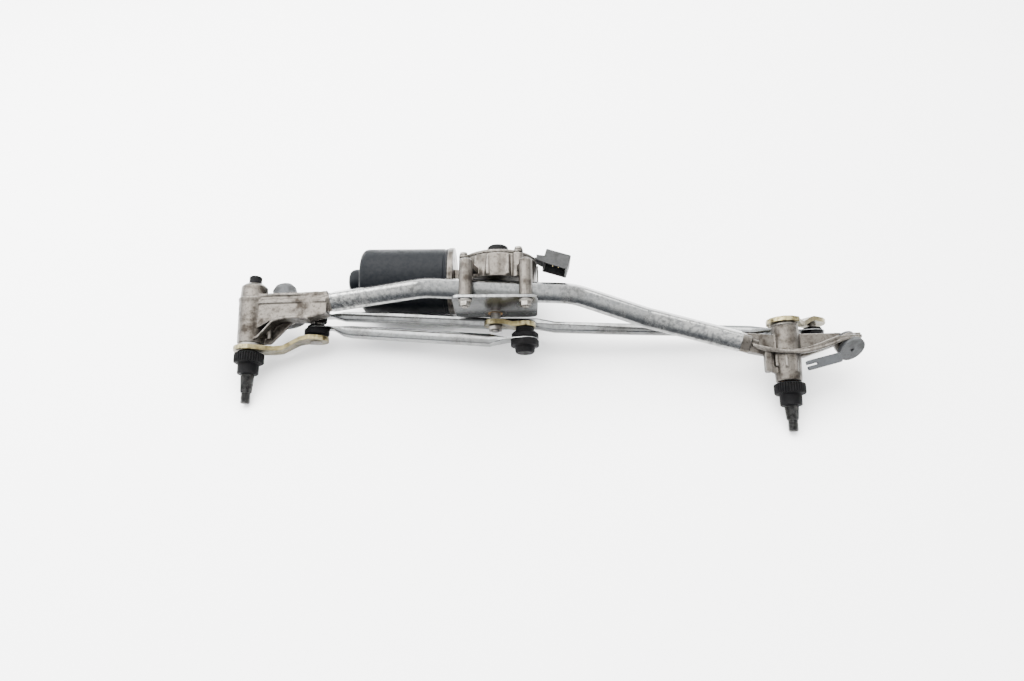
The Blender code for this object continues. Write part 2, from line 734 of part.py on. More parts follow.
def gear_cover(parent):
    """Cover of the gear housing, its breather plug and its screws."""
    low = GEAR_HOUSING_TOP + GAP
    high = low + COVER_THICKNESS
    outline = circle_outline(GEAR_U, GEAR_W, GEAR_HOUSING_RADIUS)
    cover = finish_mesh("gearbox_cover", prism_mesh(outline, low, high), "cast", parent)
    lid_left = CAN_RIGHT_U + FLANGE_THICKNESS + 6.3
    worm_lid = [(lid_left, low + 0.2, high - 0.2, MOTOR_W), (NECK_RIGHT_U, low + 0.2, high - 0.2, MOTOR_W)]
    fuse(cover, wall_mesh(worm_lid, NECK_HALF_WIDTH))
    for angle in COVER_SCREW_ANGLES:
        ear = disc_profile(4.6, low + 0.1, high - 0.1)
        fuse(cover, turned_mesh(ear, sides=ROUND_SMALL, at=cover_screw_spot(angle)))
    dome = [(0.0, low + 1.0), (22.0, low + 1.0), (22.0, high + 1.0), (16.0, high + 4.0), (0.0, high + 4.0)]
    plug_at = (SHAFT_U + 2.0, 0.0, SHAFT_W + 2.0)
    fuse(cover, turned_mesh(dome, at=plug_at))
    cut(cover, turned_mesh(disc_profile(18.0, low - 2, high), at=plug_at))
    cut(cover, turned_mesh(disc_profile(5.5 + GAP, low, high + 8), sides=ROUND_SMALL, at=plug_at))
    for angle in COVER_SCREW_ANGLES:
        hole = disc_profile(COVER_SCREW_RADIUS + GAP, low - 2, high + 2)
        cut(cover, turned_mesh(hole, sides=12, at=cover_screw_spot(angle)))
    plug = [
        (0.0, high - 1.0), (5.5, high - 1.0), (5.5, high + 4.0 + GAP), (10.4, high + 4.0 + GAP),
        (10.4, high + 6.8), (8.5, high + 8.6), (0.0, high + 9.2),
    ]
    turned("gearbox_plug", plug, "black_plastic", parent, sides=ROUND_SMALL, at=plug_at)
    for number, angle in enumerate(COVER_SCREW_ANGLES, start=1):
        screw = [
            (0.0, GEAR_HOUSING_TOP - 8), (COVER_SCREW_RADIUS, GEAR_HOUSING_TOP - 8),
            (COVER_SCREW_RADIUS, high + GAP), (3.8, high + GAP), (3.8, high + 2.6), (0.0, high + 3.0),
        ]
        turned(f"cover_screw_{number}", screw, "steel", parent, sides=12, at=cover_screw_spot(angle))
    return cover


def motor_can(parent):
    """Deep-drawn steel can with the bearing cup at its end."""
    left = CAN_RIGHT_U - CAN_LENGTH
    inner = CAN_RADIUS - CAN_WALL
    profile = [
        (0.0, left - 14.6), (9.0, left - 14.6), (12.2, left - 12.4), (13.0, left - 9.0), (13.0, left),
        (CAN_RADIUS - 5.0, left), (CAN_RADIUS - 1.4, left + 1.4), (CAN_RADIUS, left + 5.0),
        (CAN_RADIUS, CAN_RIGHT_U), (inner, CAN_RIGHT_U), (inner, left + 5.0),
        (CAN_RADIUS - 5.0, left + CAN_WALL), (8.0 + GAP, left + CAN_WALL), (8.0 + GAP, left - 13.0),
        (0.0, left - 13.0),
    ]
    motor = {"at": (0.0, MOTOR_V, MOTOR_W), "along": (1.0, 0.0, 0.0)}
    turned("motor_can", profile, "can_paint", parent, sides=40, **motor)


def motor_insides(parent):
    """Magnets, brush plate and the two armature bearings."""
    left = CAN_RIGHT_U - CAN_LENGTH
    outer = CAN_RADIUS - CAN_WALL - GAP
    for name, start in (("magnet_upper", 15), ("magnet_lower", 195)):
        finish_mesh(name, magnet_mesh(outer, start, left + 15), "magnet", parent)
    motor = {"at": (0.0, MOTOR_V, MOTOR_W), "along": (1.0, 0.0, 0.0), "sides": 20}
    bore = ARMATURE_RADIUS + FIT
    plate = ring_profile(11.0, outer, CAN_RIGHT_U - 12, CAN_RIGHT_U - 8)
    turned("brush_plate", plate, "black_plastic", parent, **motor)
    turned("rear_bearing", ring_profile(bore, 8.0, left - 11, left - 4), "bronze", parent, **motor)
    front = ring_profile(bore, BEARING_RADIUS, CAN_RIGHT_U + 1, CAN_RIGHT_U + FLANGE_THICKNESS + 2)
    turned("front_bearing", front, "bronze", parent, **motor)


def magnet_mesh(outer, start, low):
    """Curved magnet that lines the can over an arc."""
    rings = []
    deep = outer - MAGNET_THICKNESS
    steps = 10
    for step in range(steps + 1):
        angle = math.radians(start + 150 * step / steps)
        ring = []
        for radius, u in ((outer, 0), (outer, MAGNET_LENGTH), (deep, MAGNET_LENGTH), (deep, 0)):
            spot = Vector((low + u, MOTOR_V + radius * math.sin(angle), MOTOR_W + radius * math.cos(angle)))
            ring.append(spot)
        rings.append(ring)
    return loft_mesh(rings)


def armature(parent):
    """Armature shaft with its worm, the wound core and the commutator."""
    left = CAN_RIGHT_U - CAN_LENGTH
    profile = [(0.0, left - 12), (ARMATURE_RADIUS, left - 12)]
    worm_left = SHAFT_U - 0.5 * WORM_TURNS * WORM_PITCH
    profile.append((ARMATURE_RADIUS, worm_left - 0.2))
    for turn in range(WORM_TURNS):
        start = worm_left + turn * WORM_PITCH
        profile.append((4.0, start))
        profile.append((WORM_RADIUS, start + 0.3 * WORM_PITCH))
        profile.append((WORM_RADIUS, start + 0.6 * WORM_PITCH))
    right = NECK_RIGHT_U - 5.0
    profile += [(ARMATURE_RADIUS, worm_left + WORM_TURNS * WORM_PITCH), (ARMATURE_RADIUS, right), (0.0, right)]
    axis = {"along": (1.0, 0.0, 0.0), "sides": ROUND_SMALL}
    turned("armature_shaft", profile, "steel", parent, **axis)
    bore = ARMATURE_RADIUS + FIT
    core_left = left + 16
    core = ring_profile(bore, ROTOR_RADIUS, core_left, core_left + ROTOR_LENGTH)
    turned("rotor_core", core, "copper", parent, **axis)
    commutator = ring_profile(bore, 8.5, CAN_RIGHT_U - 17, CAN_RIGHT_U - 4)
    turned("commutator", commutator, "copper", parent, **axis)


def bracket_plate(parent):
    """Steel plate under the tube that the motor is bolted to."""
    low = BRACKET_TOP - BRACKET_THICKNESS
    outline = [(u - 15.0, w + 14.0) for u, w in rounded_outline(79.0, 64.0, 7.0, 4)]
    plate = finish_mesh("motor_bracket", prism_mesh(outline, low, BRACKET_TOP), "zinc", parent)
    hole = disc_profile(BOSS_RADIUS + GAP, low - 2, BRACKET_TOP + 2)
    cut(plate, turned_mesh(hole, at=(SHAFT_U, 0.0, SHAFT_W)))
    for u in POST_U:
        hole = disc_profile(BOLT_RADIUS + GAP, low - 2, BRACKET_TOP + 2)
        cut(plate, turned_mesh(hole, sides=12, at=(u, 0.0, POST_W)))
    for side, u in zip(("left", "right"), POST_U):
        head = low - GAP
        bolt = [
            (0.0, head - 8.0), (4.2, head - 8.0), (4.8, head - 5.0), (4.8, head - 4.0),
            (6.2, head - 2.0), (6.4, head), (BOLT_RADIUS, head),
            (BOLT_RADIUS, GEAR_HOUSING_BOTTOM), (0.0, GEAR_HOUSING_BOTTOM),
        ]
        turned(f"motor_bolt_{side}", bolt, "steel", parent, sides=12, at=(u, 0.0, POST_W))


def connector(parent):
    """Plug socket beside the gear housing, with its contacts."""
    place = Matrix.Translation(CONNECTOR) @ Matrix.Rotation(CONNECTOR_TURN, 4, "Z")
    box = rounded_box_mesh(CONNECTOR_SIZE, 1.2, place)
    body = finish_mesh("connector_socket", box, "connector_plastic", parent)
    cover_top = GEAR_HOUSING_TOP + GAP + COVER_THICKNESS
    low = cover_top + 0.9
    arm = [
        (NECK_RIGHT_U - 2, low, low + 4.4, GEAR_W),
        (CONNECTOR[0] - 7.5, CONNECTOR[1] - 2, CONNECTOR[1] + 7, GEAR_W),
    ]
    fuse(body, wall_mesh(arm, 8.0))
    foot = [(NECK_RIGHT_U - 16, low, low + 3.8, GEAR_W - 8), (NECK_RIGHT_U, low, low + 3.8, GEAR_W - 2)]
    fuse(body, wall_mesh(foot, 5.0))
    width, height, depth = CONNECTOR_SIZE
    pocket = (width - 2 * CONNECTOR_WALL, height, depth - 2 * CONNECTOR_WALL)
    mouth = place @ Matrix.Translation((0.0, -2 * CONNECTOR_WALL, 0.0))
    cut(body, rounded_box_mesh(pocket, 1.0, mouth))
    for number in range(1, 3):
        spot = place @ Vector((-9.0 + 6.0 * number, 2.4, 0.0))
        along = place.to_3x3() @ Vector((0.0, -1.0, 0.0))
        pin = disc_profile(0.7, 0.0, 6.0, 0.3)
        turned(f"connector_contact_{number}", pin, "brass", parent, sides=8, at=spot, along=along)


# ---------------------------------------------------------------- crank and output shaft

def output_group(parent, bush_parent):
    """Output shaft, worm wheel, crank, nut and the shank of the crank's ball."""
    underside = CRANK_HUB_V - CRANK_THICKNESS / 2 - GAP
    shaft_end = underside - NUT_THICKNESS - 1.2
    shaft = [
        (0.0, shaft_end), (3.6, shaft_end), (3.6, underside + 0.1), (OUTPUT_RADIUS, underside + 0.5),
        (OUTPUT_RADIUS, GEAR_HOUSING_TOP - 2.5), (0.0, GEAR_HOUSING_TOP - 2.5),
    ]
    turned("output_shaft", shaft, "steel", parent, sides=ROUND_SMALL)
    finish_mesh("worm_wheel", wheel_mesh(), "gear_plastic", parent)
    wheel = bpy.data.objects["worm_wheel"]
    cut(wheel, turned_mesh(disc_profile(OUTPUT_RADIUS + GAP, 55.0, 90.0), sides=ROUND_SMALL))
    inner = OUTPUT_RADIUS + FIT
    bush = ring_profile(inner, inner + BUSH_WALL, BOSS_BOTTOM + 0.4, GEAR_HOUSING_BOTTOM)
    turned("output_bush", bush, "bronze", bush_parent, sides=ROUND_SMALL, at=(SHAFT_U, 0.0, SHAFT_W))
    crank_u, crank_w = crank_vector()
    ends = ((0.0, 0.0, CRANK_HUB_V, 11.0), (crank_u, crank_w, CRANK_EYE_V, 10.4))
    arm = finish_mesh("crank_arm", lever_mesh(ends, CRANK_THICKNESS, 8.0, 0.30, 0.62), "chromate", parent)
    cut(arm, turned_mesh(disc_profile(OUTPUT_RADIUS + GAP, 5.0, 30.0), sides=ROUND_SMALL))
    ball_at = (crank_u, 0.0, crank_w)
    cut(arm, turned_mesh(disc_profile(PIN_RADIUS + GAP, 5.0, 30.0), sides=ROUND_SMALL, at=ball_at))
    nut = ring_profile(4.5, 7.0, underside - NUT_THICKNESS, underside)
    turned("crank_nut", nut, "steel", parent, sides=6)
    eye_low = CRANK_EYE_V - CRANK_THICKNESS / 2
    shank = disc_profile(PIN_RADIUS, SOCKET_TOP_CRANK + GAP, eye_low + CRANK_THICKNESS)
    turned("crank_ball_shank", shank, "steel", parent, sides=ROUND_SMALL, at=ball_at)
    boot = ring_profile(PIN_RADIUS + GAP, 8.8, SOCKET_TOP_CRANK + GAP, eye_low - GAP)
    turned("crank_boot", boot, "black_plastic", parent, sides=ROUND_SMALL, at=ball_at)


def crank_vector():
    """Crank ball seen from the output shaft, on the line from the left pin through the shaft."""
    line = Vector((SHAFT_U - PIN_U, SHAFT_W - PIN_W)).normalized()
    return line.x * CRANK_RADIUS, line.y * CRANK_RADIUS


def wheel_mesh():
    """Worm wheel with square-topped teeth."""
    outline = []
    root = WHEEL_RADIUS - 2.4
    for tooth in range(WHEEL_TEETH):
        for part, radius in ((0.0, root), (0.25, WHEEL_RADIUS), (0.5, WHEEL_RADIUS), (0.75, root)):
            angle = math.tau * (tooth + part) / WHEEL_TEETH
            outline.append((radius * math.cos(angle), radius * math.sin(angle)))
    middle = MOTOR_V
    return prism_mesh(outline, middle - WHEEL_THICKNESS / 2, middle + WHEEL_THICKNESS / 2)


# ---------------------------------------------------------------- levers

def lever_mesh(ends, thickness, waist, bend_from, bend_to):
    """Flat bar between two round eyes, joggled along v between two parts of its length."""
    (u0, w0, v0, r0), (u1, w1, v1, r1) = ends
    line = Vector((u1 - u0, w1 - w0))
    length = line.length
    along = line.normalized()
    across = Vector((-along.y, along.x))
    stations = eye_stations(0.0, r0, -1)
    stations += waist_stations(length, r0, r1, waist)
    stations += eye_stations(length, r1, 1)
    rings = []
    for reach, half in stations:
        part = min(1.0, max(0.0, (reach / length - bend_from) / (bend_to - bend_from)))
        v = v0 + (v1 - v0) * part
        ring = []
        for side, level in ((-1, -1), (1, -1), (1, 1), (-1, 1)):
            spot = Vector((u0, w0)) + along * reach + across * half * side
            ring.append(Vector((spot.x, v + level * thickness / 2, spot.y)))
        rings.append(ring)
    return loft_mesh(rings)


def eye_stations(centre, radius, side):
    """Stations around the outer half of a round eye."""
    angles = (12, 35, 60, 90) if side < 0 else (90, 60, 35, 12)
    stations = []
    for angle in angles:
        turn = math.radians(angle)
        stations.append((centre + side * radius * math.cos(turn), radius * math.sin(turn)))
    return stations


def waist_stations(length, r0, r1, waist):
    """Stations of the bar between two eyes, narrowest at its middle."""
    stations = []
    for step in range(1, 8):
        part = step / 8
        straight = r0 + (r1 - r0) * part
        narrowing = (straight - waist) * math.sin(math.pi * part)
        stations.append((length * part, straight - narrowing))
    return stations


def spindle_group(side, parent, tip):
    """Spindle with its thread and cone, and the ribbed dust cap that turns with it."""
    thread_end = tip + THREAD_LENGTH
    cone_end = thread_end + (LEFT_CONE_LENGTH if side == "left" else RIGHT_CONE_LENGTH)
    cap_low = cone_end + GAP
    rear = LEFT_BARREL_TOP + 2.6 if side == "left" else RIGHT_EYE_V + LEVER_THICKNESS / 2 + 1.2
    profile = [
        (0.0, tip), (THREAD_RADIUS - 0.8, tip), (THREAD_RADIUS, tip + 0.8), (THREAD_RADIUS, thread_end),
        (CONE_RADIUS_SMALL, thread_end + 0.2), (CONE_RADIUS_LARGE, cone_end),
        (SPINDLE_RADIUS, cone_end + 0.1), (SPINDLE_RADIUS, rear), (0.0, rear),
    ]
    turned(f"{side}_spindle", profile, "dark_steel", parent, sides=24)
    cap_start = cap_low + COLLAR_LENGTH
    cap = finish_mesh(f"{side}_dust_cap", ribbed_cap_mesh(cap_start), "black_plastic", parent)
    fuse(cap, turned_mesh(disc_profile(COLLAR_RADIUS, cap_low, cap_start + 2), sides=24))
    bore = disc_profile(SPINDLE_RADIUS + GAP, cap_low - 2, cap_start + CAP_LENGTH + 2)
    cut(cap, turned_mesh(bore, sides=24))


def dust_cap_top(tip, cone_length):
    """Level of the rear end of a dust cap."""
    return tip + THREAD_LENGTH + cone_length + GAP + COLLAR_LENGTH + CAP_LENGTH


def ribbed_cap_mesh(low):
    """Short drum with ribs around it."""
    outline = []
    for rib in range(CAP_RIBS):
        for part, radius in ((0.0, CAP_RADIUS - CAP_RIB_DEPTH), (0.3, CAP_RADIUS), (0.7, CAP_RADIUS)):
            angle = math.tau * (rib + part) / CAP_RIBS
            outline.append((radius * math.cos(angle), radius * math.sin(angle)))
    return prism_mesh(outline, low, low + CAP_LENGTH)


def left_lever_group(parent, left_w):
    """Left lever with its double ball pin, the thrust washer and the spacer."""
    pin = (PIN_U - LEFT_U, PIN_W - left_w)
    ends = ((0.0, 0.0, LEFT_EYE_V, 15.5), (pin[0], pin[1], LEFT_END_V, 12.3))
    shape = lever_mesh(ends, LEVER_THICKNESS, 9.5, 0.47, 0.80)
    lever = finish_mesh("left_lever", shape, "chromate", parent)
    cut(lever, turned_mesh(disc_profile(SPINDLE_RADIUS + GAP, -20.0, 10.0), sides=ROUND_SMALL))
    spot = (pin[0], 0.0, pin[1])
    cut(lever, turned_mesh(disc_profile(PIN_RADIUS + GAP, -5.0, 20.0), sides=ROUND_SMALL, at=spot))
    low = LEFT_END_V - LEVER_THICKNESS / 2
    pin_profile = [
        (0.0, low - 1.6), (5.8, low - 1.2), (6.2, low - GAP), (PIN_RADIUS, low - GAP),
        (PIN_RADIUS, LOWER_BALL_V - 4.4),
        *ball_points(LOWER_BALL_V, 3.4), (3.4, UPPER_BALL_V - 5.2), *ball_points(UPPER_BALL_V, 3.4),
        (0.0, UPPER_BALL_V + BALL_RADIUS),
    ]
    turned("left_ball_pin", pin_profile, "steel", parent, sides=ROUND_SMALL, at=spot)
    washer_low = LEFT_EYE_V + LEVER_THICKNESS / 2 + GAP
    washer = ring_profile(SPINDLE_RADIUS + GAP, WASHER_RADIUS, washer_low, LEFT_BARREL_BOTTOM - GAP)
    turned("left_thrust_washer", washer, "steel", parent, sides=ROUND_SMALL)
    cap_top = dust_cap_top(LEFT_TIP_V, LEFT_CONE_LENGTH)
    spacer_top = LEFT_EYE_V - LEVER_THICKNESS / 2 - GAP
    spacer = ring_profile(SPINDLE_RADIUS + GAP, SPINDLE_RADIUS + 3.0, cap_top + GAP, spacer_top)
    turned("left_spacer", spacer, "dark_steel", parent, sides=ROUND_SMALL)


def ball_points(centre, neck, lowest=None):
    """Profile points of a ball on a shank, from its low side to its high side."""
    points = []
    end = math.pi - math.asin(neck / BALL_RADIUS)
    start = math.pi - end if lowest is None else math.radians(lowest)
    steps = 4
    for step in range(steps + 1):
        angle = start + (end - start) * step / steps
        points.append((BALL_RADIUS * math.sin(angle), centre - BALL_RADIUS * math.cos(angle)))
    return points


def right_lever_group(parent):
    """Right lever with the shank of its ball and the thrust washer."""
    ball = (RIGHT_BALL_U - RIGHT_U, RIGHT_BALL_W)
    ends = ((0.0, 0.0, RIGHT_EYE_V, 16.6), (ball[0], ball[1], RIGHT_END_V, 13.0))
    shape = lever_mesh(ends, LEVER_THICKNESS, 10.0, 0.42, 0.70)
    lever = finish_mesh("right_lever", shape, "chromate", parent)
    cut(lever, turned_mesh(disc_profile(SPINDLE_RADIUS + GAP, 5.0, 30.0), sides=ROUND_SMALL))
    spot = (ball[0], 0.0, ball[1])
    cut(lever, turned_mesh(disc_profile(PIN_RADIUS + GAP, 15.0, 35.0), sides=ROUND_SMALL, at=spot))
    shank = disc_profile(PIN_RADIUS, SOCKET_TOP_RIGHT + GAP, RIGHT_END_V + LEVER_THICKNESS / 2 + 0.8)
    turned("right_ball_shank", shank, "steel", parent, sides=ROUND_SMALL, at=spot)
    washer_high = RIGHT_EYE_V - LEVER_THICKNESS / 2 - GAP
    washer = ring_profile(SPINDLE_RADIUS + GAP, WASHER_RADIUS, RIGHT_BARREL_TOP + GAP, washer_high)
    turned("right_thrust_washer", washer, "steel", parent, sides=ROUND_SMALL)
    cap_top = dust_cap_top(RIGHT_TIP_V, RIGHT_CONE_LENGTH)
    seal_top = RIGHT_BARREL_BOTTOM - GAP
    seal = ring_profile(SPINDLE_RADIUS + GAP, SPINDLE_RADIUS + 3.0, cap_top + GAP, seal_top)
    turned("right_seal", seal, "black_plastic", parent, sides=ROUND_SMALL)


# ---------------------------------------------------------------- rods

def rod_ring(centre, half_width, half_height, sides=12):
    """Ring of a rod's section across u, between a circle and a flat plate."""
    ring = []
    for step in range(sides):
        angle = math.tau * (step + 0.5) / sides
        across = half_width * math.copysign(abs(math.cos(angle)) ** 0.7, math.cos(angle))
        rise = half_height * math.copysign(abs(math.sin(angle)) ** 0.7, math.sin(angle))
        ring.append(centre + Vector((0.0, rise, across)))
    return ring


def rod_mesh(stations, start_w, end_w, start_u, end_u):
    """Rod through (u, v, half width, half height) stations, straight in the (u, w) plane."""
    rings = []
    for u, v, half_width, half_height in stations:
        w = start_w + (end_w - start_w) * (u - start_u) / (end_u - start_u)
        rings.append(rod_ring(Vector((u - start_u, v, w - start_w)), half_width, half_height))
    return loft_mesh(rings)


def plate_end(centre_u, v, radius, side):
    """Stations of a flat round end, from the rod outwards."""
    half = PLATE_THICKNESS / 2
    stations = []
    for angle in (90, 60, 35, 14):
        turn = math.radians(angle)
        stations.append((centre_u + side * radius * math.cos(turn), v, radius * math.sin(turn), half))
    return stations


def rod_1_group(parent):
    """First rod with its sockets and the ball of the crank, hinged on the left pin."""
    crank_u, crank_w = crank_vector()
    ball_u = SHAFT_U + crank_u
    ball_w = SHAFT_W + crank_w
    left_v = LOWER_BALL_V + 3.0
    right_v = ROD_1_PLATE_V
    body = [
        (PIN_U + 14, left_v, 8.8, PLATE_THICKNESS / 2),
        (PIN_U + 18, left_v - 0.9, 7.8, 1.6),
        (PIN_U + 27, left_v - 3.4, ROD_1_RADIUS, 5.0),
        (PIN_U + 36, left_v - 4.6, ROD_1_RADIUS, ROD_1_RADIUS),
        ((PIN_U + ball_u) / 2 + 5.6, 7.6, ROD_1_RADIUS, ROD_1_RADIUS),
        (ball_u - 34, right_v + 0.6, ROD_1_RADIUS, ROD_1_RADIUS),
        (ball_u - 24, right_v + 0.3, ROD_1_RADIUS + 1.5, 3.6),
        (ball_u - 17, right_v, ROD_1_RADIUS + 3.0, 1.2),
    ]
    stations = plate_end(PIN_U, left_v, 11.0, -1)[::-1] + body + plate_end(ball_u, right_v, 12.6, 1)
    bar = finish_mesh("rod_1_bar", rod_mesh(stations, PIN_W, ball_w, PIN_U, ball_u), "zinc", parent)
    cut(bar, turned_mesh(disc_profile(8.0 + GAP, left_v - 5, left_v + 5), sides=ROUND_SMALL))
    ball_at = (ball_u - PIN_U, 0.0, ball_w - PIN_W)
    cut(bar, turned_mesh(disc_profile(9.4 + GAP, -5.0, 6.0), sides=ROUND_SMALL, at=ball_at))
    open_socket("rod_1_left_socket", parent, LOWER_BALL_V, left_v, 12.3, 8.0)
    groove = PLATE_THICKNESS / 2 + GAP
    socket = [
        (0.0, right_v - groove - 12.0), (8.0, right_v - groove - 12.0), (9.4, right_v - groove - 10.0),
        (9.8, right_v - groove - 6.0), (13.6, right_v - groove - 5.2), (13.6, right_v - groove),
        (9.4, right_v - groove), (9.4, right_v + groove), (13.2, right_v + groove),
        (13.0, SOCKET_TOP_CRANK - 2.0), (11.0, SOCKET_TOP_CRANK),
    ]
    socket += cavity_points(CRANK_BALL_V, SOCKET_TOP_CRANK)
    turned("rod_1_crank_socket", socket, "black_plastic", parent, sides=ROUND_SMALL + 4, at=ball_at)
    caught_ball("crank_ball", parent, CRANK_BALL_V, SOCKET_TOP_CRANK, ball_at)


def cavity_points(ball_v, top):
    """Profile of the hollow around a ball, from the mouth of its socket to the bottom."""
    cavity = BALL_RADIUS + 2 * FIT
    neck = PIN_RADIUS + FIT + GAP
    start = math.degrees(math.acos(neck / cavity))
    points = [(neck, top)]
    for angle in (start, 15.0, -15.0, -45.0):
        turn = math.radians(angle)
        points.append((cavity * math.cos(turn), ball_v + cavity * math.sin(turn)))
    points.append((0.0, ball_v - cavity))
    return points


def caught_ball(name, parent, ball_v, top, spot):
    """Ball and neck that ride inside a closed socket."""
    ball = [(0.0, ball_v - BALL_RADIUS)]
    ball += ball_points(ball_v, PIN_RADIUS, lowest=40.0)
    ball += [(PIN_RADIUS, top - 0.1), (0.0, top - 0.1)]
    turned(name, ball, "steel", parent, sides=ROUND_SMALL, at=spot)


def open_socket(name, parent, ball_v, plate_v, radius, groove_radius, at=(0.0, 0.0, 0.0)):
    """Plastic socket around a ball, open at both ends and grooved for the plate of its rod."""
    groove = PLATE_THICKNESS / 2 + GAP
    cavity = BALL_RADIUS + FIT
    top = plate_v + groove + 1.6
    bottom = ball_v - 3.9
    mouth = math.asin((bottom - ball_v) / cavity)
    profile = [(cavity * math.cos(mouth), bottom), (radius - 0.8, bottom), (radius, bottom + 0.8)]
    profile += [(radius, plate_v - groove), (groove_radius, plate_v - groove)]
    profile += [(groove_radius, plate_v + groove), (groove_radius + 1.5, plate_v + groove)]
    profile.append((groove_radius + 1.0, top))
    rim = math.asin(min(0.75, (top - ball_v) / cavity))
    for step in range(5):
        turn = rim + (mouth - rim) * step / 5
        profile.append((cavity * math.cos(turn), top if step == 0 else ball_v + cavity * math.sin(turn)))
    turned(name, profile, "black_plastic", parent, sides=ROUND_SMALL + 4, at=at)


def rod_2_group(parent):
    """Second rod with its sockets and the ball of the right lever, hinged on the left pin."""
    left_v = UPPER_BALL_V + 2.6
    half = ROD_2_HEIGHT / 2
    wide = ROD_2_WIDTH / 2
    right_v = RIGHT_PLATE_V
    body = [
        (PIN_U + 16, left_v, 8.0, 1.3),
        (PIN_U + 28, 31.8, wide, half - 0.6),
        (PIN_U + 81.5, 30.2, wide, half),
        (SHAFT_U - 4, 24.3, wide, half),
        (SHAFT_U + 40, 24.0, wide, half),
        (SHAFT_U + 58, 20.6, wide, half),
        (RIGHT_U - 158.0, 18.7, wide, half),
        (RIGHT_U - 24, 15.6, wide, half),
        (RIGHT_U + 2, right_v, wide + 1, 2.2),
        (RIGHT_BALL_U - 16, right_v, 8.0, 1.2),
    ]
    stations = plate_end(PIN_U, left_v, 10.6, -1)[::-1] + body + plate_end(RIGHT_BALL_U, right_v, 11.4, 1)
    shape = rod_mesh(stations, PIN_W, RIGHT_BALL_W, PIN_U, RIGHT_BALL_U)
    bar = finish_mesh("rod_2_bar", shape, "zinc", parent)
    cut(bar, turned_mesh(disc_profile(7.4 + GAP, left_v - 5, left_v + 5), sides=ROUND_SMALL))
    spot = (RIGHT_BALL_U - PIN_U, 0.0, RIGHT_BALL_W - PIN_W)
    cut(bar, turned_mesh(disc_profile(7.6 + GAP, right_v - 5, right_v + 5), sides=ROUND_SMALL, at=spot))
    open_socket("rod_2_left_socket", parent, UPPER_BALL_V, left_v, 9.2, 7.4)
    groove = PLATE_THICKNESS / 2 + GAP
    socket = [
        (0.0, right_v - groove - 7.0), (7.0, right_v - groove - 7.0), (8.4, right_v - groove - 5.0),
        (10.8, right_v - groove - 3.0), (10.8, right_v - groove), (7.6, right_v - groove),
        (7.6, right_v + groove), (9.4, right_v + groove), (9.0, SOCKET_TOP_RIGHT),
    ]
    socket += cavity_points(RIGHT_BALL_V, SOCKET_TOP_RIGHT)
    turned("rod_2_right_socket", socket, "black_plastic", parent, sides=ROUND_SMALL + 4, at=spot)
    caught_ball("right_lever_ball", parent, RIGHT_BALL_V, SOCKET_TOP_RIGHT, spot)


# ---------------------------------------------------------------- whole linkage

def resting_tilt():
    """Angle about u at which the right tip and the motor flange touch the same floor."""
    along = MOTOR_V - RIGHT_TIP_V
    across = MOTOR_W + THREAD_RADIUS
    return math.asin(FLANGE_RADIUS / math.hypot(along, across)) + math.atan2(-across, along)


def stand_on_floor(linkage):
    """Move the linkage so that its lowest point is at z = 0 and its box is centred on x and y."""
    bpy.context.view_layer.update()
    graph = bpy.context.evaluated_depsgraph_get()
    low = Vector((math.inf, math.inf, math.inf))
    high = -low
    for item in bpy.context.scene.objects:
        if item.type != "MESH" or item.hide_render:
            continue
        shape = item.evaluated_get(graph)
        for vertex in shape.data.vertices:
            point = shape.matrix_world @ vertex.co
            low = Vector(map(min, low, point))
            high = Vector(map(max, high, point))
    middle = (low + high) / 2
    linkage.location = (-middle.x, -middle.y, -low.z)
    bpy.context.view_layer.update()


def build():
    """Build every piece of the linkage."""
    clear_scene()
    tilt = resting_tilt()
    left_w = (RIGHT_TIP_V - LEFT_TIP_V) * math.tan(tilt)
    linkage = make_empty("linkage")
    linkage.rotation_euler.x = tilt
    frame_tube(linkage)
    left_housing(linkage, left_w)
    right_housing(linkage)
    spindle_bushes("left", linkage, left_w, LEFT_BARREL_BOTTOM, LEFT_BARREL_TOP)
    spindle_bushes("right", linkage, 0.0, RIGHT_BARREL_BOTTOM, RIGHT_BARREL_TOP)
    top = LEFT_BARREL_TOP + 3.5 + GAP
    rear_cap = disc_profile(6.2, top, top + 8.0, 1.2)
    turned("left_rear_cap", rear_cap, "black_plastic", linkage, sides=ROUND_SMALL, at=(LEFT_U, 0.0, left_w))
    rubber_mounts(linkage)
    gear_housing(linkage)
    gear_cover(linkage)
    motor_can(linkage)
    motor_insides(linkage)
    bracket_plate(linkage)
    connector(linkage)
    crank_axis = make_empty("crank_axis", linkage, (SHAFT_U, 0.0, SHAFT_W))
    output_group(crank_axis, linkage)
    armature_axis = make_empty("armature_axis", linkage, (0.0, MOTOR_V, MOTOR_W))
    armature(armature_axis)
    left_axis = make_empty("left_spindle_axis", linkage, (LEFT_U, 0.0, left_w))
    spindle_group("left", left_axis, LEFT_TIP_V)
    left_lever_group(left_axis, left_w)
    right_axis = make_empty("right_spindle_axis", linkage, (RIGHT_U, 0.0, 0.0))
    spindle_group("right", right_axis, RIGHT_TIP_V)
    right_lever_group(right_axis)
    pin_axis = make_empty("left_pin_axis", linkage, (PIN_U, 0.0, PIN_W))
    rod_1_group(pin_axis)
    rod_2_group(pin_axis)
    stand_on_floor(linkage)


build()
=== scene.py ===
"""Windshield wiper linkage: the finished surfaces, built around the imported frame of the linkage."""
import json
import math

import bmesh
import bpy
from mathutils import Matrix, Vector


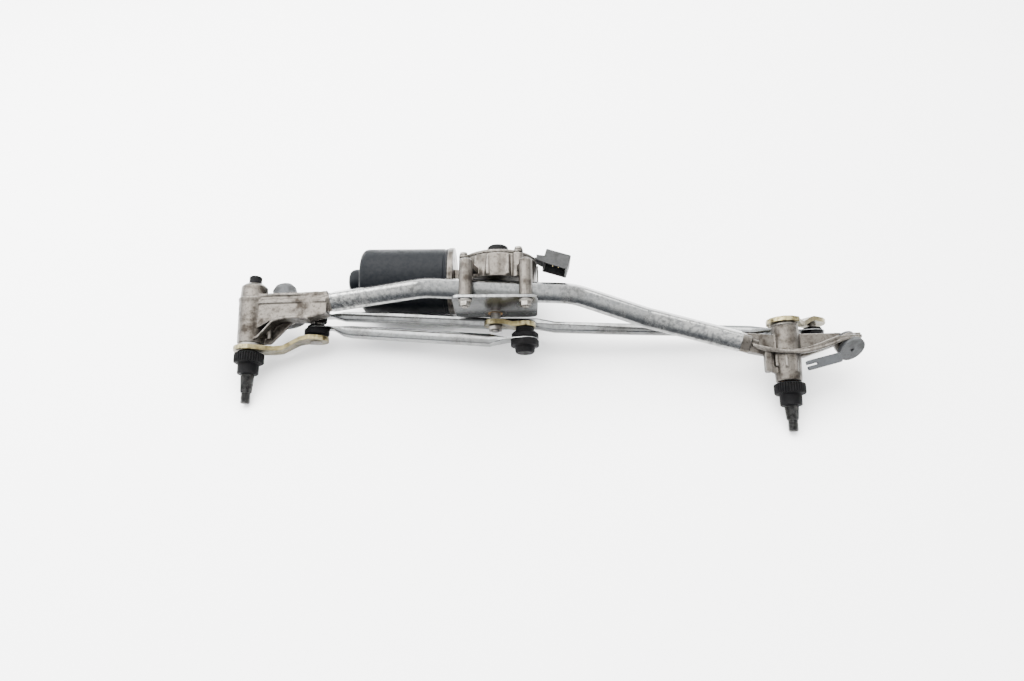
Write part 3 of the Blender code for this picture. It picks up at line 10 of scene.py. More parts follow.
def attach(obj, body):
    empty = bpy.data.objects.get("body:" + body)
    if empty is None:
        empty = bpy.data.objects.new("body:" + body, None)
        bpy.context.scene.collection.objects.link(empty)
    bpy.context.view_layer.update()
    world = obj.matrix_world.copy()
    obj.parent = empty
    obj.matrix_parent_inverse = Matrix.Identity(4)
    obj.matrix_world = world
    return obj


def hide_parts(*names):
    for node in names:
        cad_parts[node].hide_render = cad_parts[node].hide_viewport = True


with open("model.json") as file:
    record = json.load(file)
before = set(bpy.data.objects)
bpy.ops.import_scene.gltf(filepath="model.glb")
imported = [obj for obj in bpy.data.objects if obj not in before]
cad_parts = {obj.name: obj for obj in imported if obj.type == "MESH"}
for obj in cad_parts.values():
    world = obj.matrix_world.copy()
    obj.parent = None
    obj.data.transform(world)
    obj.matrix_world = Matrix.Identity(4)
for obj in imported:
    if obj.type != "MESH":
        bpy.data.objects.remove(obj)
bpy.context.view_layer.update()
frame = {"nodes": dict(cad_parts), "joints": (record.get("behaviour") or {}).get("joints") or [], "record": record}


# ---------------------------------------------------------------- directions of the linkage
# Every spindle, pin and shaft of the linkage is parallel, and the tube and the rods lie across
# them. So each piece is made in millimetres along u, from spindle to spindle, along v, away from
# the threaded ends, and along w, out of the side that faces up.

MM = 0.001
joints = {joint["name"]: joint for joint in frame["joints"]}
ALONG_U = Vector((1.0, 0.0, 0.0))
ALONG_V = Vector(joints["crank_turn"]["axis"]).normalized()
ALONG_W = ALONG_U.cross(ALONG_V)


def local_frame(joint_name):
    """Matrix from millimetres about a joint's axis to metres in the frame."""
    columns = [direction * MM for direction in (ALONG_U, ALONG_V, ALONG_W)]
    matrix = Matrix(columns).transposed().to_4x4()
    matrix.translation = Vector(joints[joint_name]["pos_m"])
    return matrix


# ---------------------------------------------------------------- studio
# A pale seamless floor under a large soft light from above and behind, with a paler room around
# it. The room's dark band stands in front, where bare metal picks it up as darker streaks.

CAMERA_DISTANCE = 745.0 * MM
CAMERA_LEAN = math.radians(15.0)
CAMERA_YAW = math.radians(1.2)
SENSOR_WIDTH = 36.0
FOCAL_LENGTH = 27.56
AXIS_FROM_CENTRE = Vector((16.0, 0.0, 5.0))      # centre of the view, from the output shaft


def look_from_above():
    """Camera over the linkage, leaning towards the spindle ends."""
    data = bpy.data.cameras.new("studio_camera")
    data.lens = FOCAL_LENGTH
    data.sensor_width = SENSOR_WIDTH
    camera = bpy.data.objects.new("studio_camera", data)
    bpy.context.scene.collection.objects.link(camera)
    yaw = math.sin(CAMERA_YAW)
    right = (ALONG_U - ALONG_W * yaw).normalized()
    back = (-ALONG_V * math.sin(CAMERA_LEAN) + ALONG_W * math.cos(CAMERA_LEAN)).normalized()
    back = (back + ALONG_U * yaw * math.cos(CAMERA_LEAN)).normalized()
    up = back.cross(right).normalized()
    target = local_frame("crank_turn") @ AXIS_FROM_CENTRE
    matrix = Matrix((right, up, back)).transposed().to_4x4()
    matrix.translation = target + back * CAMERA_DISTANCE
    camera.matrix_world = matrix
    bpy.context.scene.camera = camera


def soft_light(name, place, size, power, colour):
    """Square area light that faces the middle of the linkage."""
    data = bpy.data.lights.new(name, "AREA")
    data.shape = "RECTANGLE"
    data.size, data.size_y = size
    data.energy = power
    data.color = colour
    light = bpy.data.objects.new(name, data)
    light.location = place
    light.rotation_euler = (-Vector(place)).to_track_quat("-Z", "Y").to_euler()
    bpy.context.scene.collection.objects.link(light)


def pale_room():
    """World that is bright above and behind, and darker low in front."""
    world = bpy.data.worlds.new("pale_room")
    bpy.context.scene.world = world
    world.use_nodes = True
    nodes, links = world.node_tree.nodes, world.node_tree.links
    nodes.clear()
    where = nodes.new("ShaderNodeTexCoord")
    split = nodes.new("ShaderNodeSeparateXYZ")
    links.new(where.outputs["Generated"], split.inputs[0])
    height = nodes.new("ShaderNodeValToRGB")
    height.color_ramp.elements[0].position = 0.02
    height.color_ramp.elements[0].color = (0.022, 0.025, 0.032, 1.0)
    height.color_ramp.elements[1].position = 0.62
    height.color_ramp.elements[1].color = (1.0, 1.0, 1.0, 1.0)
    middle = height.color_ramp.elements.new(0.30)
    middle.color = (0.10, 0.108, 0.122, 1.0)
    links.new(split.outputs["Z"], height.inputs["Fac"])
    behind = nodes.new("ShaderNodeMapRange")
    behind.inputs["From Min"].default_value = -0.35
    behind.inputs["From Max"].default_value = 0.45
    behind.inputs["To Min"].default_value = 0.0
    behind.inputs["To Max"].default_value = 0.9
    links.new(split.outputs["Y"], behind.inputs["Value"])
    mix = nodes.new("ShaderNodeMix")
    mix.data_type = "RGBA"
    links.new(behind.outputs["Result"], mix.inputs["Factor"])
    links.new(height.outputs["Color"], mix.inputs["A"])
    mix.inputs["B"].default_value = (1.0, 1.0, 1.0, 1.0)
    background = nodes.new("ShaderNodeBackground")
    background.inputs["Strength"].default_value = 4.2
    links.new(mix.outputs["Result"], background.inputs["Color"])
    wall = nodes.new("ShaderNodeBackground")
    wall.inputs["Color"].default_value = (0.93, 0.95, 0.97, 1.0)
    wall.inputs["Strength"].default_value = 4.2
    seen = nodes.new("ShaderNodeLightPath")
    choose = nodes.new("ShaderNodeMixShader")
    links.new(seen.outputs["Is Camera Ray"], choose.inputs["Fac"])
    links.new(background.outputs["Background"], choose.inputs[1])
    links.new(wall.outputs["Background"], choose.inputs[2])
    output = nodes.new("ShaderNodeOutputWorld")
    links.new(choose.outputs["Shader"], output.inputs["Surface"])


def pale_floor():
    """Wide floor with a very faint unevenness."""
    shape = bmesh.new()
    bmesh.ops.create_grid(shape, x_segments=2, y_segments=2, size=4.0)
    mesh = bpy.data.meshes.new("studio_floor")
    shape.to_mesh(mesh)
    shape.free()
    floor = bpy.data.objects.new("studio_floor", mesh)
    bpy.context.scene.collection.objects.link(floor)
    material = bpy.data.materials.new("white_sweep")
    material.use_nodes = True
    nodes, links = material.node_tree.nodes, material.node_tree.links
    shader = nodes["Principled BSDF"]
    shader.inputs["Roughness"].default_value = 0.75
    shader.inputs["Specular IOR Level"].default_value = 0.15
    where = nodes.new("ShaderNodeTexCoord")
    noise = nodes.new("ShaderNodeTexNoise")
    noise.inputs["Scale"].default_value = 1.6
    links.new(where.outputs["Object"], noise.inputs["Vector"])
    ramp = nodes.new("ShaderNodeValToRGB")
    ramp.color_ramp.elements[0].color = (0.90, 0.905, 0.91, 1.0)
    ramp.color_ramp.elements[1].color = (0.95, 0.95, 0.945, 1.0)
    links.new(noise.outputs["Fac"], ramp.inputs["Fac"])
    links.new(ramp.outputs["Color"], shader.inputs["Base Color"])
    mesh.materials.append(material)


look_from_above()
soft_light("overhead_softbox", (-0.25, 0.55, 1.25), (2.0, 1.5), 100.0, (1.0, 0.99, 0.98))
soft_light("left_softbox", (-1.2, 0.1, 0.8), (1.0, 1.0), 24.0, (0.97, 0.98, 1.0))
pale_room()
pale_floor()


# ---------------------------------------------------------------- frame tube
# Bent square steel tube, rolled on its corner and bright zinc plated. Years under the scuttle
# left the plating with long scratches, dull white bloom and brown stains near both castings.

def group_socket(group, name, kind, output=False, value=None):
    """Add one socket to a shader node group."""
    side = "OUTPUT" if output else "INPUT"
    socket = group.interface.new_socket(name, in_out=side, socket_type=kind)
    if value is not None:
        socket.default_value = value


def link_maths(group, operation, first, second):
    """Join two sockets or numbers of a node group by a Math node and return its output."""
    node = group.nodes.new("ShaderNodeMath")
    node.operation = operation
    for place, value in enumerate((first, second)):
        if isinstance(value, (int, float)):
            node.inputs[place].default_value = value
        else:
            group.links.new(value, node.inputs[place])
    return node.outputs[0]


def noise_mask(group, vector, scale, low, high, detail=4.0):
    """Noise sharpened between two levels to a mask from 0 to 1."""
    noise = group.nodes.new("ShaderNodeTexNoise")
    noise.inputs["Detail"].default_value = detail
    noise.inputs["Roughness"].default_value = 0.62
    group.links.new(vector, noise.inputs["Vector"])
    if isinstance(scale, (int, float)):
        noise.inputs["Scale"].default_value = scale
    else:
        group.links.new(scale, noise.inputs["Scale"])
    sharpen = group.nodes.new("ShaderNodeMapRange")
    sharpen.interpolation_type = "SMOOTHSTEP"
    sharpen.inputs["From Min"].default_value = low
    sharpen.inputs["From Max"].default_value = high
    group.links.new(noise.outputs["Fac"], sharpen.inputs["Value"])
    return sharpen.outputs["Result"]


def stained_group():
    """Group that lays blotches, fine speckle and worn edges over a base colour."""
    group = bpy.data.node_groups.new("stain_and_wear", "ShaderNodeTree")
    group_socket(group, "Base", "NodeSocketColor")
    group_socket(group, "Stain", "NodeSocketColor")
    group_socket(group, "Worn", "NodeSocketColor")
    group_socket(group, "Blotch Scale", "NodeSocketFloat", value=90.0)
    group_socket(group, "Stain Amount", "NodeSocketFloat", value=0.5)
    group_socket(group, "Wear Amount", "NodeSocketFloat", value=0.5)
    group_socket(group, "Colour", "NodeSocketColor", output=True)
    group_socket(group, "Grain", "NodeSocketFloat", output=True)
    given = group.nodes.new("NodeGroupInput")
    result = group.nodes.new("NodeGroupOutput")
    where = group.nodes.new("ShaderNodeTexCoord").outputs["Object"]
    blotch = noise_mask(group, where, given.outputs["Blotch Scale"], 0.44, 0.68)
    speckle = noise_mask(group, where, 1400.0, 0.52, 0.72, detail=2.0)
    small = noise_mask(group, where, 420.0, 0.50, 0.66)
    patchy = link_maths(group, "MAXIMUM", blotch, link_maths(group, "MULTIPLY", small, 0.55))
    dirt = link_maths(group, "MULTIPLY", patchy, given.outputs["Stain Amount"])
    geometry = group.nodes.new("ShaderNodeNewGeometry")
    edge = group.nodes.new("ShaderNodeMapRange")
    edge.inputs["From Min"].default_value = 0.505
    edge.inputs["From Max"].default_value = 0.60
    group.links.new(geometry.outputs["Pointiness"], edge.inputs["Value"])
    chipped = noise_mask(group, where, 260.0, 0.35, 0.60)
    broken = link_maths(group, "MULTIPLY", edge.outputs["Result"], chipped)
    worn = link_maths(group, "MULTIPLY", broken, given.outputs["Wear Amount"])
    stained = group.nodes.new("ShaderNodeMix")
    stained.data_type = "RGBA"
    group.links.new(dirt, stained.inputs["Factor"])
    group.links.new(given.outputs["Base"], stained.inputs["A"])
    group.links.new(given.outputs["Stain"], stained.inputs["B"])
    bright = group.nodes.new("ShaderNodeMix")
    bright.data_type = "RGBA"
    group.links.new(worn, bright.inputs["Factor"])
    group.links.new(stained.outputs["Result"], bright.inputs["A"])
    group.links.new(given.outputs["Worn"], bright.inputs["B"])
    group.links.new(bright.outputs["Result"], result.inputs["Colour"])
    grain = link_maths(group, "ADD", link_maths(group, "MULTIPLY", speckle, 0.5), patchy)
    group.links.new(grain, result.inputs["Grain"])
    return group


def scratched_group():
    """Group that draws fine scratches along u, as a mask."""
    group = bpy.data.node_groups.new("long_scratches", "ShaderNodeTree")
    group_socket(group, "Density", "NodeSocketFloat", value=900.0)
    group_socket(group, "Scratches", "NodeSocketFloat", output=True)
    given = group.nodes.new("NodeGroupInput")
    result = group.nodes.new("NodeGroupOutput")
    where = group.nodes.new("ShaderNodeTexCoord").outputs["Object"]
    masks = []
    for turn, stretch in ((0.05, 0.035), (-0.35, 0.06)):
        mapping = group.nodes.new("ShaderNodeMapping")
        mapping.inputs["Rotation"].default_value = (0.0, 0.0, turn)
        mapping.inputs["Scale"].default_value = (stretch, 1.0, 1.0)
        group.links.new(where, mapping.inputs["Vector"])
        across = mapping.outputs["Vector"]
        density = given.outputs["Density"]
        masks.append(noise_mask(group, across, density, 0.60, 0.72, detail=2.0))
    both = link_maths(group, "MAXIMUM", masks[0], masks[1])
    group.links.new(both, result.inputs["Scratches"])
    return group


STAIN = stained_group()
SCRATCH = scratched_group()


def finish_material(name, base, stain, worn, metallic, roughness, **look):
    """Material of a metal or plastic piece: a stained, worn base with its own grain."""
    material = bpy.data.materials.new(name)
    material.use_nodes = True
    nodes, links = material.node_tree.nodes, material.node_tree.links
    shader = nodes["Principled BSDF"]
    shader.inputs["Metallic"].default_value = metallic
    shader.inputs["Specular IOR Level"].default_value = look.get("specular", 0.5)
    effect = nodes.new("ShaderNodeGroup")
    effect.node_tree = STAIN
    effect.inputs["Base"].default_value = (*base, 1.0)
    effect.inputs["Stain"].default_value = (*stain, 1.0)
    effect.inputs["Worn"].default_value = (*worn, 1.0)
    effect.inputs["Blotch Scale"].default_value = look.get("blotch", 90.0)
    effect.inputs["Stain Amount"].default_value = look.get("dirt", 0.5)
    effect.inputs["Wear Amount"].default_value = look.get("wear", 0.5)
    links.new(effect.outputs["Colour"], shader.inputs["Base Color"])
    rough = nodes.new("ShaderNodeMapRange")
    rough.inputs["From Max"].default_value = 1.4
    rough.inputs["To Min"].default_value = roughness
    rough.inputs["To Max"].default_value = min(1.0, roughness + look.get("rough_spread", 0.3))
    links.new(effect.outputs["Grain"], rough.inputs["Value"])
    links.new(rough.outputs["Result"], shader.inputs["Roughness"])
    height = effect.outputs["Grain"]
    if look.get("scratches"):
        lines = nodes.new("ShaderNodeGroup")
        lines.node_tree = SCRATCH
        mix = nodes.new("ShaderNodeMath")
        mix.operation = "MULTIPLY_ADD"
        mix.inputs[1].default_value = -look["scratches"]
        links.new(lines.outputs["Scratches"], mix.inputs[0])
        links.new(effect.outputs["Grain"], mix.inputs[2])
        height = mix.outputs[0]
    bump = nodes.new("ShaderNodeBump")
    bump.inputs["Strength"].default_value = look.get("bump", 0.25)
    bump.inputs["Distance"].default_value = look.get("depth", 0.15) * MM
    links.new(height, bump.inputs["Height"])
    links.new(bump.outputs["Normal"], shader.inputs["Normal"])
    return material


ZINC_PLATE = finish_material(
    "zinc_plate", metallic=1.0, roughness=0.20,
    base=(0.125, 0.129, 0.130), stain=(0.026, 0.022, 0.017), worn=(0.30, 0.30, 0.29),
    blotch=30.0, dirt=0.50, wear=0.9, scratches=0.5, bump=0.05, rough_spread=0.12)


SHARP_EDGE = math.radians(32)
FLAT_FACES = math.radians(0.5)     # faces that differ by less are one flat face
stood_for = set()                  # CAD nodes that a piece stands for


def shown_piece(name, mesh_data, body, material, replaced=(), bevel=0.0):
    """Turn a bmesh in metres into a piece that rides on a body."""
    bmesh.ops.recalc_face_normals(mesh_data, faces=mesh_data.faces)
    mesh = bpy.data.meshes.new(name)
    mesh_data.to_mesh(mesh)
    mesh_data.free()
    mesh.shade_smooth()
    mesh.set_sharp_from_angle(angle=SHARP_EDGE)
    mesh.materials.append(material)
    piece = bpy.data.objects.new(name, mesh)
    bpy.context.scene.collection.objects.link(piece)
    if bevel:
        rounding = piece.modifiers.new("rounded_edges", "BEVEL")
        rounding.width = bevel * MM
        rounding.segments = 3
        rounding.limit_method = "ANGLE"
        rounding.angle_limit = SHARP_EDGE
        rounding.harden_normals = True
    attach(piece, body)
    if replaced:
        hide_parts(*replaced)
        stood_for.update(replaced)
    return piece


def node_mesh(node):
    """Copy of a CAD node's mesh with its flat faces joined."""
    shape = bmesh.new()
    shape.from_mesh(frame["nodes"][node].data)
    bmesh.ops.remove_doubles(shape, verts=shape.verts, dist=0.002 * MM)
    bmesh.ops.dissolve_limit(
        shape, angle_limit=FLAT_FACES, verts=shape.verts, edges=shape.edges)
    return shape


def node_body(node):
    """Body that a CAD node rides on."""
    bodies = frame["record"]["behaviour"]["bodies"]
    return next(body for body, nodes in bodies.items() if node in nodes)


def node_slot(node):
    """Material slot of a CAD node."""
    subparts = frame["record"]["subparts"]
    return next(entry["material_slot"] for entry in subparts if entry["node"] == node)


def rounded_copy(node, material, bevel):
    """CAD node remade with rounded edges."""
    return shown_piece(
        node + "_finished", node_mesh(node), node_body(node), material, (node,), bevel)


rounded_copy("frame_tube", ZINC_PLATE, 0.0)


# ---------------------------------------------------------------- spindle housings
# Die castings in a zinc and aluminium alloy, one on each end of the tube. Their skin is grey with
# brown grime in the corners, and every wall runs into the next through a cast fillet.

CAST_ALLOY = finish_material(
    "cast_alloy", metallic=0.95, roughness=0.30,
    base=(0.076, 0.069, 0.060), stain=(0.010, 0.0072, 0.0048), worn=(0.24, 0.23, 0.215),
    blotch=75.0, dirt=0.85, wear=1.0, bump=0.5, depth=0.25)
FILLET_VOXEL = 0.55
FILLET_PASSES = 5


def local_points(node, joint_name):
    """Vertices of a CAD node in millimetres about a joint's axis."""
    inverse = local_frame(joint_name).inverted()
    return [inverse @ vertex.co for vertex in frame["nodes"][node].data.vertices]


def extent(node, joint_name, direction):
    """Lowest and highest millimetre of a CAD node along u (0), v (1) or w (2)."""
    values = [point[direction] for point in local_points(node, joint_name)]
    return min(values), max(values)


def closed_loft(rings):
    """Join rings of points into one closed body."""
    shape = bmesh.new()
    rows = [[shape.verts.new(point) for point in ring] for ring in rings]
    count = len(rows[0])
    for low, high in zip(rows, rows[1:]):
        for step in range(count):
            after = (step + 1) % count
            shape.faces.new((low[step], low[after], high[after], high[step]))
    shape.faces.new(reversed(rows[0]))
    shape.faces.new(rows[-1])
    return shape


def bar_between(stations, half_width):
    """Wall through (u, low v, high v, w) stations."""
    rings = []
    for u, low, high, w in stations:
        rings.append((
            Vector((u, low, w - half_width)), Vector((u, low, w + half_width)),
            Vector((u, high, w + half_width)), Vector((u, high, w - half_width)),
        ))
    return closed_loft(rings)


def round_bar(start, end, radius, end_radius=None, sides=32):
    """Round bar between two points."""
    start, end = Vector(start), Vector(end)
    axis = (end - start).normalized()
    side = axis.orthogonal().normalized()
    rise = axis.cross(side)
    rings = []
    for centre, size in ((start, radius), (end, end_radius or radius)):
        ring = []
        for step in range(sides):
            angle = math.tau * step / sides
            ring.append(centre + size * (side * math.cos(angle) + rise * math.sin(angle)))
        rings.append(ring)
    return closed_loft(rings)


def cast_piece(node, additions, joint_name):
    """CAD node with more cast detail, all run together with fillets."""
    shape = node_mesh(node)
    place = local_frame(joint_name)
    for extra in additions:
        bmesh.ops.recalc_face_normals(extra, faces=extra.faces)
        bmesh.ops.transform(extra, matrix=place, verts=extra.verts)
        scratch = bpy.data.meshes.new("cast_detail")
        extra.to_mesh(scratch)
        extra.free()
        shape.from_mesh(scratch)
        bpy.data.meshes.remove(scratch)
    bmesh.ops.triangulate(shape, faces=shape.faces)
    mesh = bpy.data.meshes.new(node + "_casting")
    shape.to_mesh(mesh)
    shape.free()
    mesh.materials.append(CAST_ALLOY)
    piece = bpy.data.objects.new(node + "_casting", mesh)
    bpy.context.scene.collection.objects.link(piece)
    skin = piece.modifiers.new("cast_skin", "REMESH")
    skin.mode = "VOXEL"
    skin.voxel_size = FILLET_VOXEL * MM
    skin.use_smooth_shade = True
    fillets = piece.modifiers.new("fillets", "SMOOTH")
    fillets.factor = 0.5
    fillets.iterations = FILLET_PASSES
    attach(piece, node_body(node))
    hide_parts(node)
    stood_for.add(node)
    return piece


def left_casting():
    """Left housing with the flanges along its arm and the ridge of its parting line."""
    lower_flange = [
        (6.0, 2.6, 5.2, 2.0), (10.0, 4.0, 6.6, 3.0), (24.0, 19.5, 22.0, 5.0),
        (30.0, 21.6, 24.0, 6.0), (44.0, 22.4, 24.8, 8.0), (60.0, 20.6, 23.0, 11.0),
    ]
    upper_flange = [
        (10.0, 46.6, 49.2, 1.0), (26.0, 46.0, 48.6, 5.0),
        (44.0, 45.2, 47.8, 8.0), (70.0, 45.0, 47.8, 12.0),
    ]
    ridge = [(9.0, 40.0, 42.0, 1.0), (40.0, 39.0, 41.0, 7.0), (72.0, 38.4, 40.4, 12.0)]
    return cast_piece("left_spindle_housing", (
        bar_between(lower_flange, 9.4), bar_between(upper_flange, 9.8), bar_between(ridge, 9.2),
        round_bar((18.0, 6.0, 0.0), (18.0, 20.0, 2.0), 2.6),
    ), "left_wipe")


def right_casting():
    """Right housing with the rim of its bowed flange and the ribs on its barrel."""
    barrel = extent("right_spindle_housing", "right_wipe", 1)[0]
    rim = []
    for step in range(15):
        part = step / 14
        u = -34.0 + 100.0 * part
        bow = 8.5 * math.sin(math.pi * min(1.0, part * 1.2))
        level = -9.5 - bow + 13.0 * max(0.0, part - 0.4) ** 1.3
        rim.append((u, level, level + 2.6, 9.5 + 6.5 * math.sin(math.pi * part)))
    ribs = [
        round_bar((-11.5, barrel + 14.0, 6.0), (-11.5, -16.0, 6.0), 2.4),
        round_bar((4.0, barrel + 8.0, 10.6), (4.0, -18.0, 11.0), 2.0),
        round_bar((-4.0, barrel + 12.0, 11.0), (-4.0, -18.0, 11.0), 1.6),
    ]
    return cast_piece("right_spindle_housing", (bar_between(rim, 2.0), *ribs), "right_wipe")


left_casting()
right_casting()


# ---------------------------------------------------------------- gearbox
# Cast housing and cover of the worm gear, with stiffening ribs around the rim, the two long posts
# that it hangs by, and a black breather plug over the end of the output shaft.

BLACK_PLASTIC = finish_material(
    "black_moulding", metallic=0.0, roughness=0.50,
    base=(0.0012, 0.0012, 0.0015), stain=(0.007, 0.0065, 0.006), worn=(0.018, 0.018, 0.018),
    blotch=80.0, dirt=0.30, wear=0.35, bump=0.2, specular=0.05)
PLAIN_STEEL = finish_material(
    "plain_steel", metallic=1.0, roughness=0.28,
    base=(0.125, 0.118, 0.106), stain=(0.034, 0.023, 0.015), worn=(0.36, 0.35, 0.335),
    blotch=160.0, dirt=0.5, wear=0.5, bump=0.25)
RIM_RIBS = (35, 55, 75, 105, 125, 150)       # degrees from u towards w


def gearbox_castings():
    """Housing and cover of the worm gear."""
    low, high = extent("gearbox_cover", "crank_turn", 1)
    rim_top = low - 0.6
    centre = Vector((3.0, 0.0, -7.0))
    ribs = []
    for angle in RIM_RIBS:
        turn = math.radians(angle)
        outwards = Vector((math.cos(turn), 0.0, math.sin(turn)))
        foot = centre + outwards * 36.8 + Vector((0.0, rim_top - 21.5, 0.0))
        head = centre + outwards * 37.0 + Vector((0.0, rim_top - 1.5, 0.0))
        ribs.append(round_bar(foot, head, 2.6, 1.3, sides=16))
    boss = centre + Vector((18.0, 0.0, 33.5))
    boss_foot = boss + Vector((0.0, rim_top - 24.0, 0.0))
    boss_head = boss + Vector((0.0, rim_top + 0.4, 0.0))
    ribs.append(round_bar(boss_foot, boss_head, 4.4))
    cast_piece("gearbox_housing", ribs, "crank_turn")
    cast_piece("gearbox_cover", (), "crank_turn")


gearbox_castings()


def turned_mesh(profile, sides=96):
    """Turn a profile of (radius, height) points about v, as a solid or as a ring."""
    shape = bmesh.new()
    rows = []
    for radius, height in profile:
        if radius < 1e-6:
            continue
        row = []
        for step in range(sides):
            angle = math.tau * step / sides
            row.append(shape.verts.new((radius * math.cos(angle), height, radius * math.sin(angle))))
        rows.append(row)
    pairs = list(zip(rows, rows[1:]))
    if profile[0][0] > 1e-6:
        pairs.append((rows[-1], rows[0]))
    for low, high in pairs:
        for step in range(sides):
            after = (step + 1) % sides
            shape.faces.new((low[step], low[after], high[after], high[step]))
    if profile[0][0] < 1e-6:
        shape.faces.new(reversed(rows[0]))
        shape.faces.new(rows[-1])
    return shape


def stand_on(shape, joint_name, offset=(0.0, 0.0, 0.0)):
    """Move a mesh made in millimetres to a joint's axis."""
    place = local_frame(joint_name) @ Matrix.Translation(Vector(offset))
    bmesh.ops.transform(shape, matrix=place, verts=shape.verts)
    return shape


def centre_of(node, joint_name):
    """Middle of a CAD node across the axis of a joint, in millimetres."""
    u_low, u_high = extent(node, joint_name, 0)
    w_low, w_high = extent(node, joint_name, 2)
    return Vector(((u_low + u_high) / 2, 0.0, (w_low + w_high) / 2))


def turned_piece(node, profile, joint_name, material, bevel=0.25, sides=96):
    """Turned piece that stands for a CAD node, with heights from the node's low end."""
    low = extent(node, joint_name, 1)[0]
    lifted = [(radius, low + height) for radius, height in profile]
    shape = stand_on(turned_mesh(lifted, sides), joint_name, centre_of(node, joint_name))
    return shown_piece(
        node + "_turned", shape, node_body(node), material, (node,), bevel)


def ring_again(node, joint_name, material, bevel=0.2, sides=64):
    """Plain ring remade round, with its sizes read from the CAD node."""
    centre = centre_of(node, joint_name)
    low, high = extent(node, joint_name, 1)
    reach = [math.hypot(p.x - centre.x, p.z - centre.z) for p in local_points(node, joint_name)]
    inner, outer = min(reach), max(reach)
    profile = [(inner, 0.0), (outer, 0.0), (outer, high - low), (inner, high - low)]
    return turned_piece(node, profile, joint_name, material, bevel, sides)


turned_piece("gearbox_plug", [
    (0.0, 0.0), (5.5, 0.0), (5.5, 5.3), (10.4, 5.3), (10.4, 11.4), (9.9, 12.8), (8.8, 13.7),
    (7.2, 14.2), (6.6, 13.8), (3.0, 13.8), (2.6, 14.3), (0.0, 14.3),
], "crank_turn", BLACK_PLASTIC)
for number in (1, 2, 3):
    turned_piece(f"cover_screw_{number}", [
        (0.0, 0.0), (1.7, 0.0), (1.7, 11.6), (4.2, 11.6), (4.2, 12.2), (3.7, 12.4), (3.6, 14.0),
        (2.4, 14.2), (2.2, 13.2), (0.0, 13.2),
    ], "crank_turn", PLAIN_STEEL, 0.15, 48)


# ---------------------------------------------------------------- motor
# Deep-drawn steel can in satin black enamel, spun over the bearing cup at its blind end and
# closed by the cast flange of the gearbox.

CAN_ENAMEL = finish_material(
    "can_enamel", metallic=0.0, roughness=0.36,
    base=(0.0018, 0.0026, 0.0038), stain=(0.006, 0.0068, 0.0078), worn=(0.025, 0.025, 0.025),
    blotch=60.0, dirt=0.30, wear=0.4, bump=0.12, specular=0.055)


def along_motor(shape):
    """Turn a mesh made along v so that it runs along the motor's axis, from its blind end."""
    low = extent("motor_can", "armature_spin", 0)[0]
    turn = Matrix.Rotation(math.radians(-90), 4, "Z")
    bmesh.ops.transform(shape, matrix=Matrix.Translation((low, 0.0, 0.0)) @ turn, verts=shape.verts)
    return stand_on(shape, "armature_spin")


def motor_can():
    """Drawn can with its end cup, swaged bead and rolled rim."""
    length = extent("motor_can", "armature_spin", 0)
    rim = length[1] - length[0]
    profile = [
        (0.0, 0.0), (6.0, 0.1), (8.6, 0.5), (10.6, 1.5), (11.9, 3.2), (12.6, 5.2), (12.9, 7.6),
        (13.0, 13.4),
        (13.4, 14.2), (14.4, 14.6), (27.4, 14.6), (29.4, 15.0), (31.1, 16.2), (32.4, 18.0), (33.0, 20.4),
        (33.0, rim - 4.2), (32.5, rim - 3.6), (32.5, rim - 2.4), (33.0, rim - 1.8), (33.0, rim),
        (31.5, rim),
        (31.5, 22.0), (28.0, 16.1), (8.3, 16.1), (8.3, 1.7), (0.0, 1.7),
    ]
    shape = along_motor(turned_mesh(profile, 144))
    shown_piece("motor_can_drawn", shape, "frame", CAN_ENAMEL, ("motor_can",), 0.0)


motor_can()


# ---------------------------------------------------------------- motor bracket
# Pressed steel plate under the tube. Flanged nuts on long studs pull the posts of the gearbox
# down on it.

rounded_copy("motor_bracket", ZINC_PLATE, 0.5)


def hexagon(radius, low, high):
    """Six-sided prism along v."""
    outlines = []
    for level in (low, high):
        ring = []
        for step in range(6):
            angle = math.tau * (step + 0.25) / 6
            ring.append(Vector((radius * math.cos(angle), level, radius * math.sin(angle))))
        outlines.append(ring)
    return closed_loft(outlines)


def merge(shape, extra):
    """Add another closed body to a piece."""
    scratch = bpy.data.meshes.new("added_body")
    extra.to_mesh(scratch)
    extra.free()
    shape.from_mesh(scratch)
    bpy.data.meshes.remove(scratch)
    return shape


def bracket_stud(node):
    """Stud with its flanged hexagon nut."""
    low, high = extent(node, "crank_turn", 1)
    flange = low + 8.0
    shape = turned_mesh([
        (0.0, low), (2.2, low), (2.9, low + 0.7), (2.9, low + 2.8), (3.0, high), (0.0, high)], 32)
    merge(shape, turned_mesh([
        (0.0, flange - 2.4), (4.8, flange - 2.4), (6.2, flange - 1.4), (6.4, flange - 0.1),
        (0.0, flange - 0.1)], 48))
    merge(shape, hexagon(5.4, low + 1.6, flange - 1.6))
    stand_on(shape, "crank_turn", centre_of(node, "crank_turn"))
    shown_piece(node + "_nut", shape, "frame", PLAIN_STEEL, (node,), 0.25)


bracket_stud("motor_bolt_left")
bracket_stud("motor_bolt_right")


# ---------------------------------------------------------------- connector
# Dark grey moulding clipped to the cover, with a lip along its front and brass blades inside.

CONNECTOR_GREY = finish_material(
    "connector_moulding", metallic=0.0, roughness=0.50,
    base=(0.0085, 0.0095, 0.0095), stain=(0.016, 0.015, 0.013), worn=(0.03, 0.03, 0.03),
    blotch=120.0, dirt=0.35, wear=0.4, bump=0.25, specular=0.25)
rounded_copy("connector_socket", CONNECTOR_GREY, 0.45)


# ---------------------------------------------------------------- spindles and dust caps
# Hardened spindles, dark phosphated, with a knurled cone for the wiper arm and a rolled thread
# for its nut. A ribbed black cap keeps spray out of each barrel and turns with the spindle.

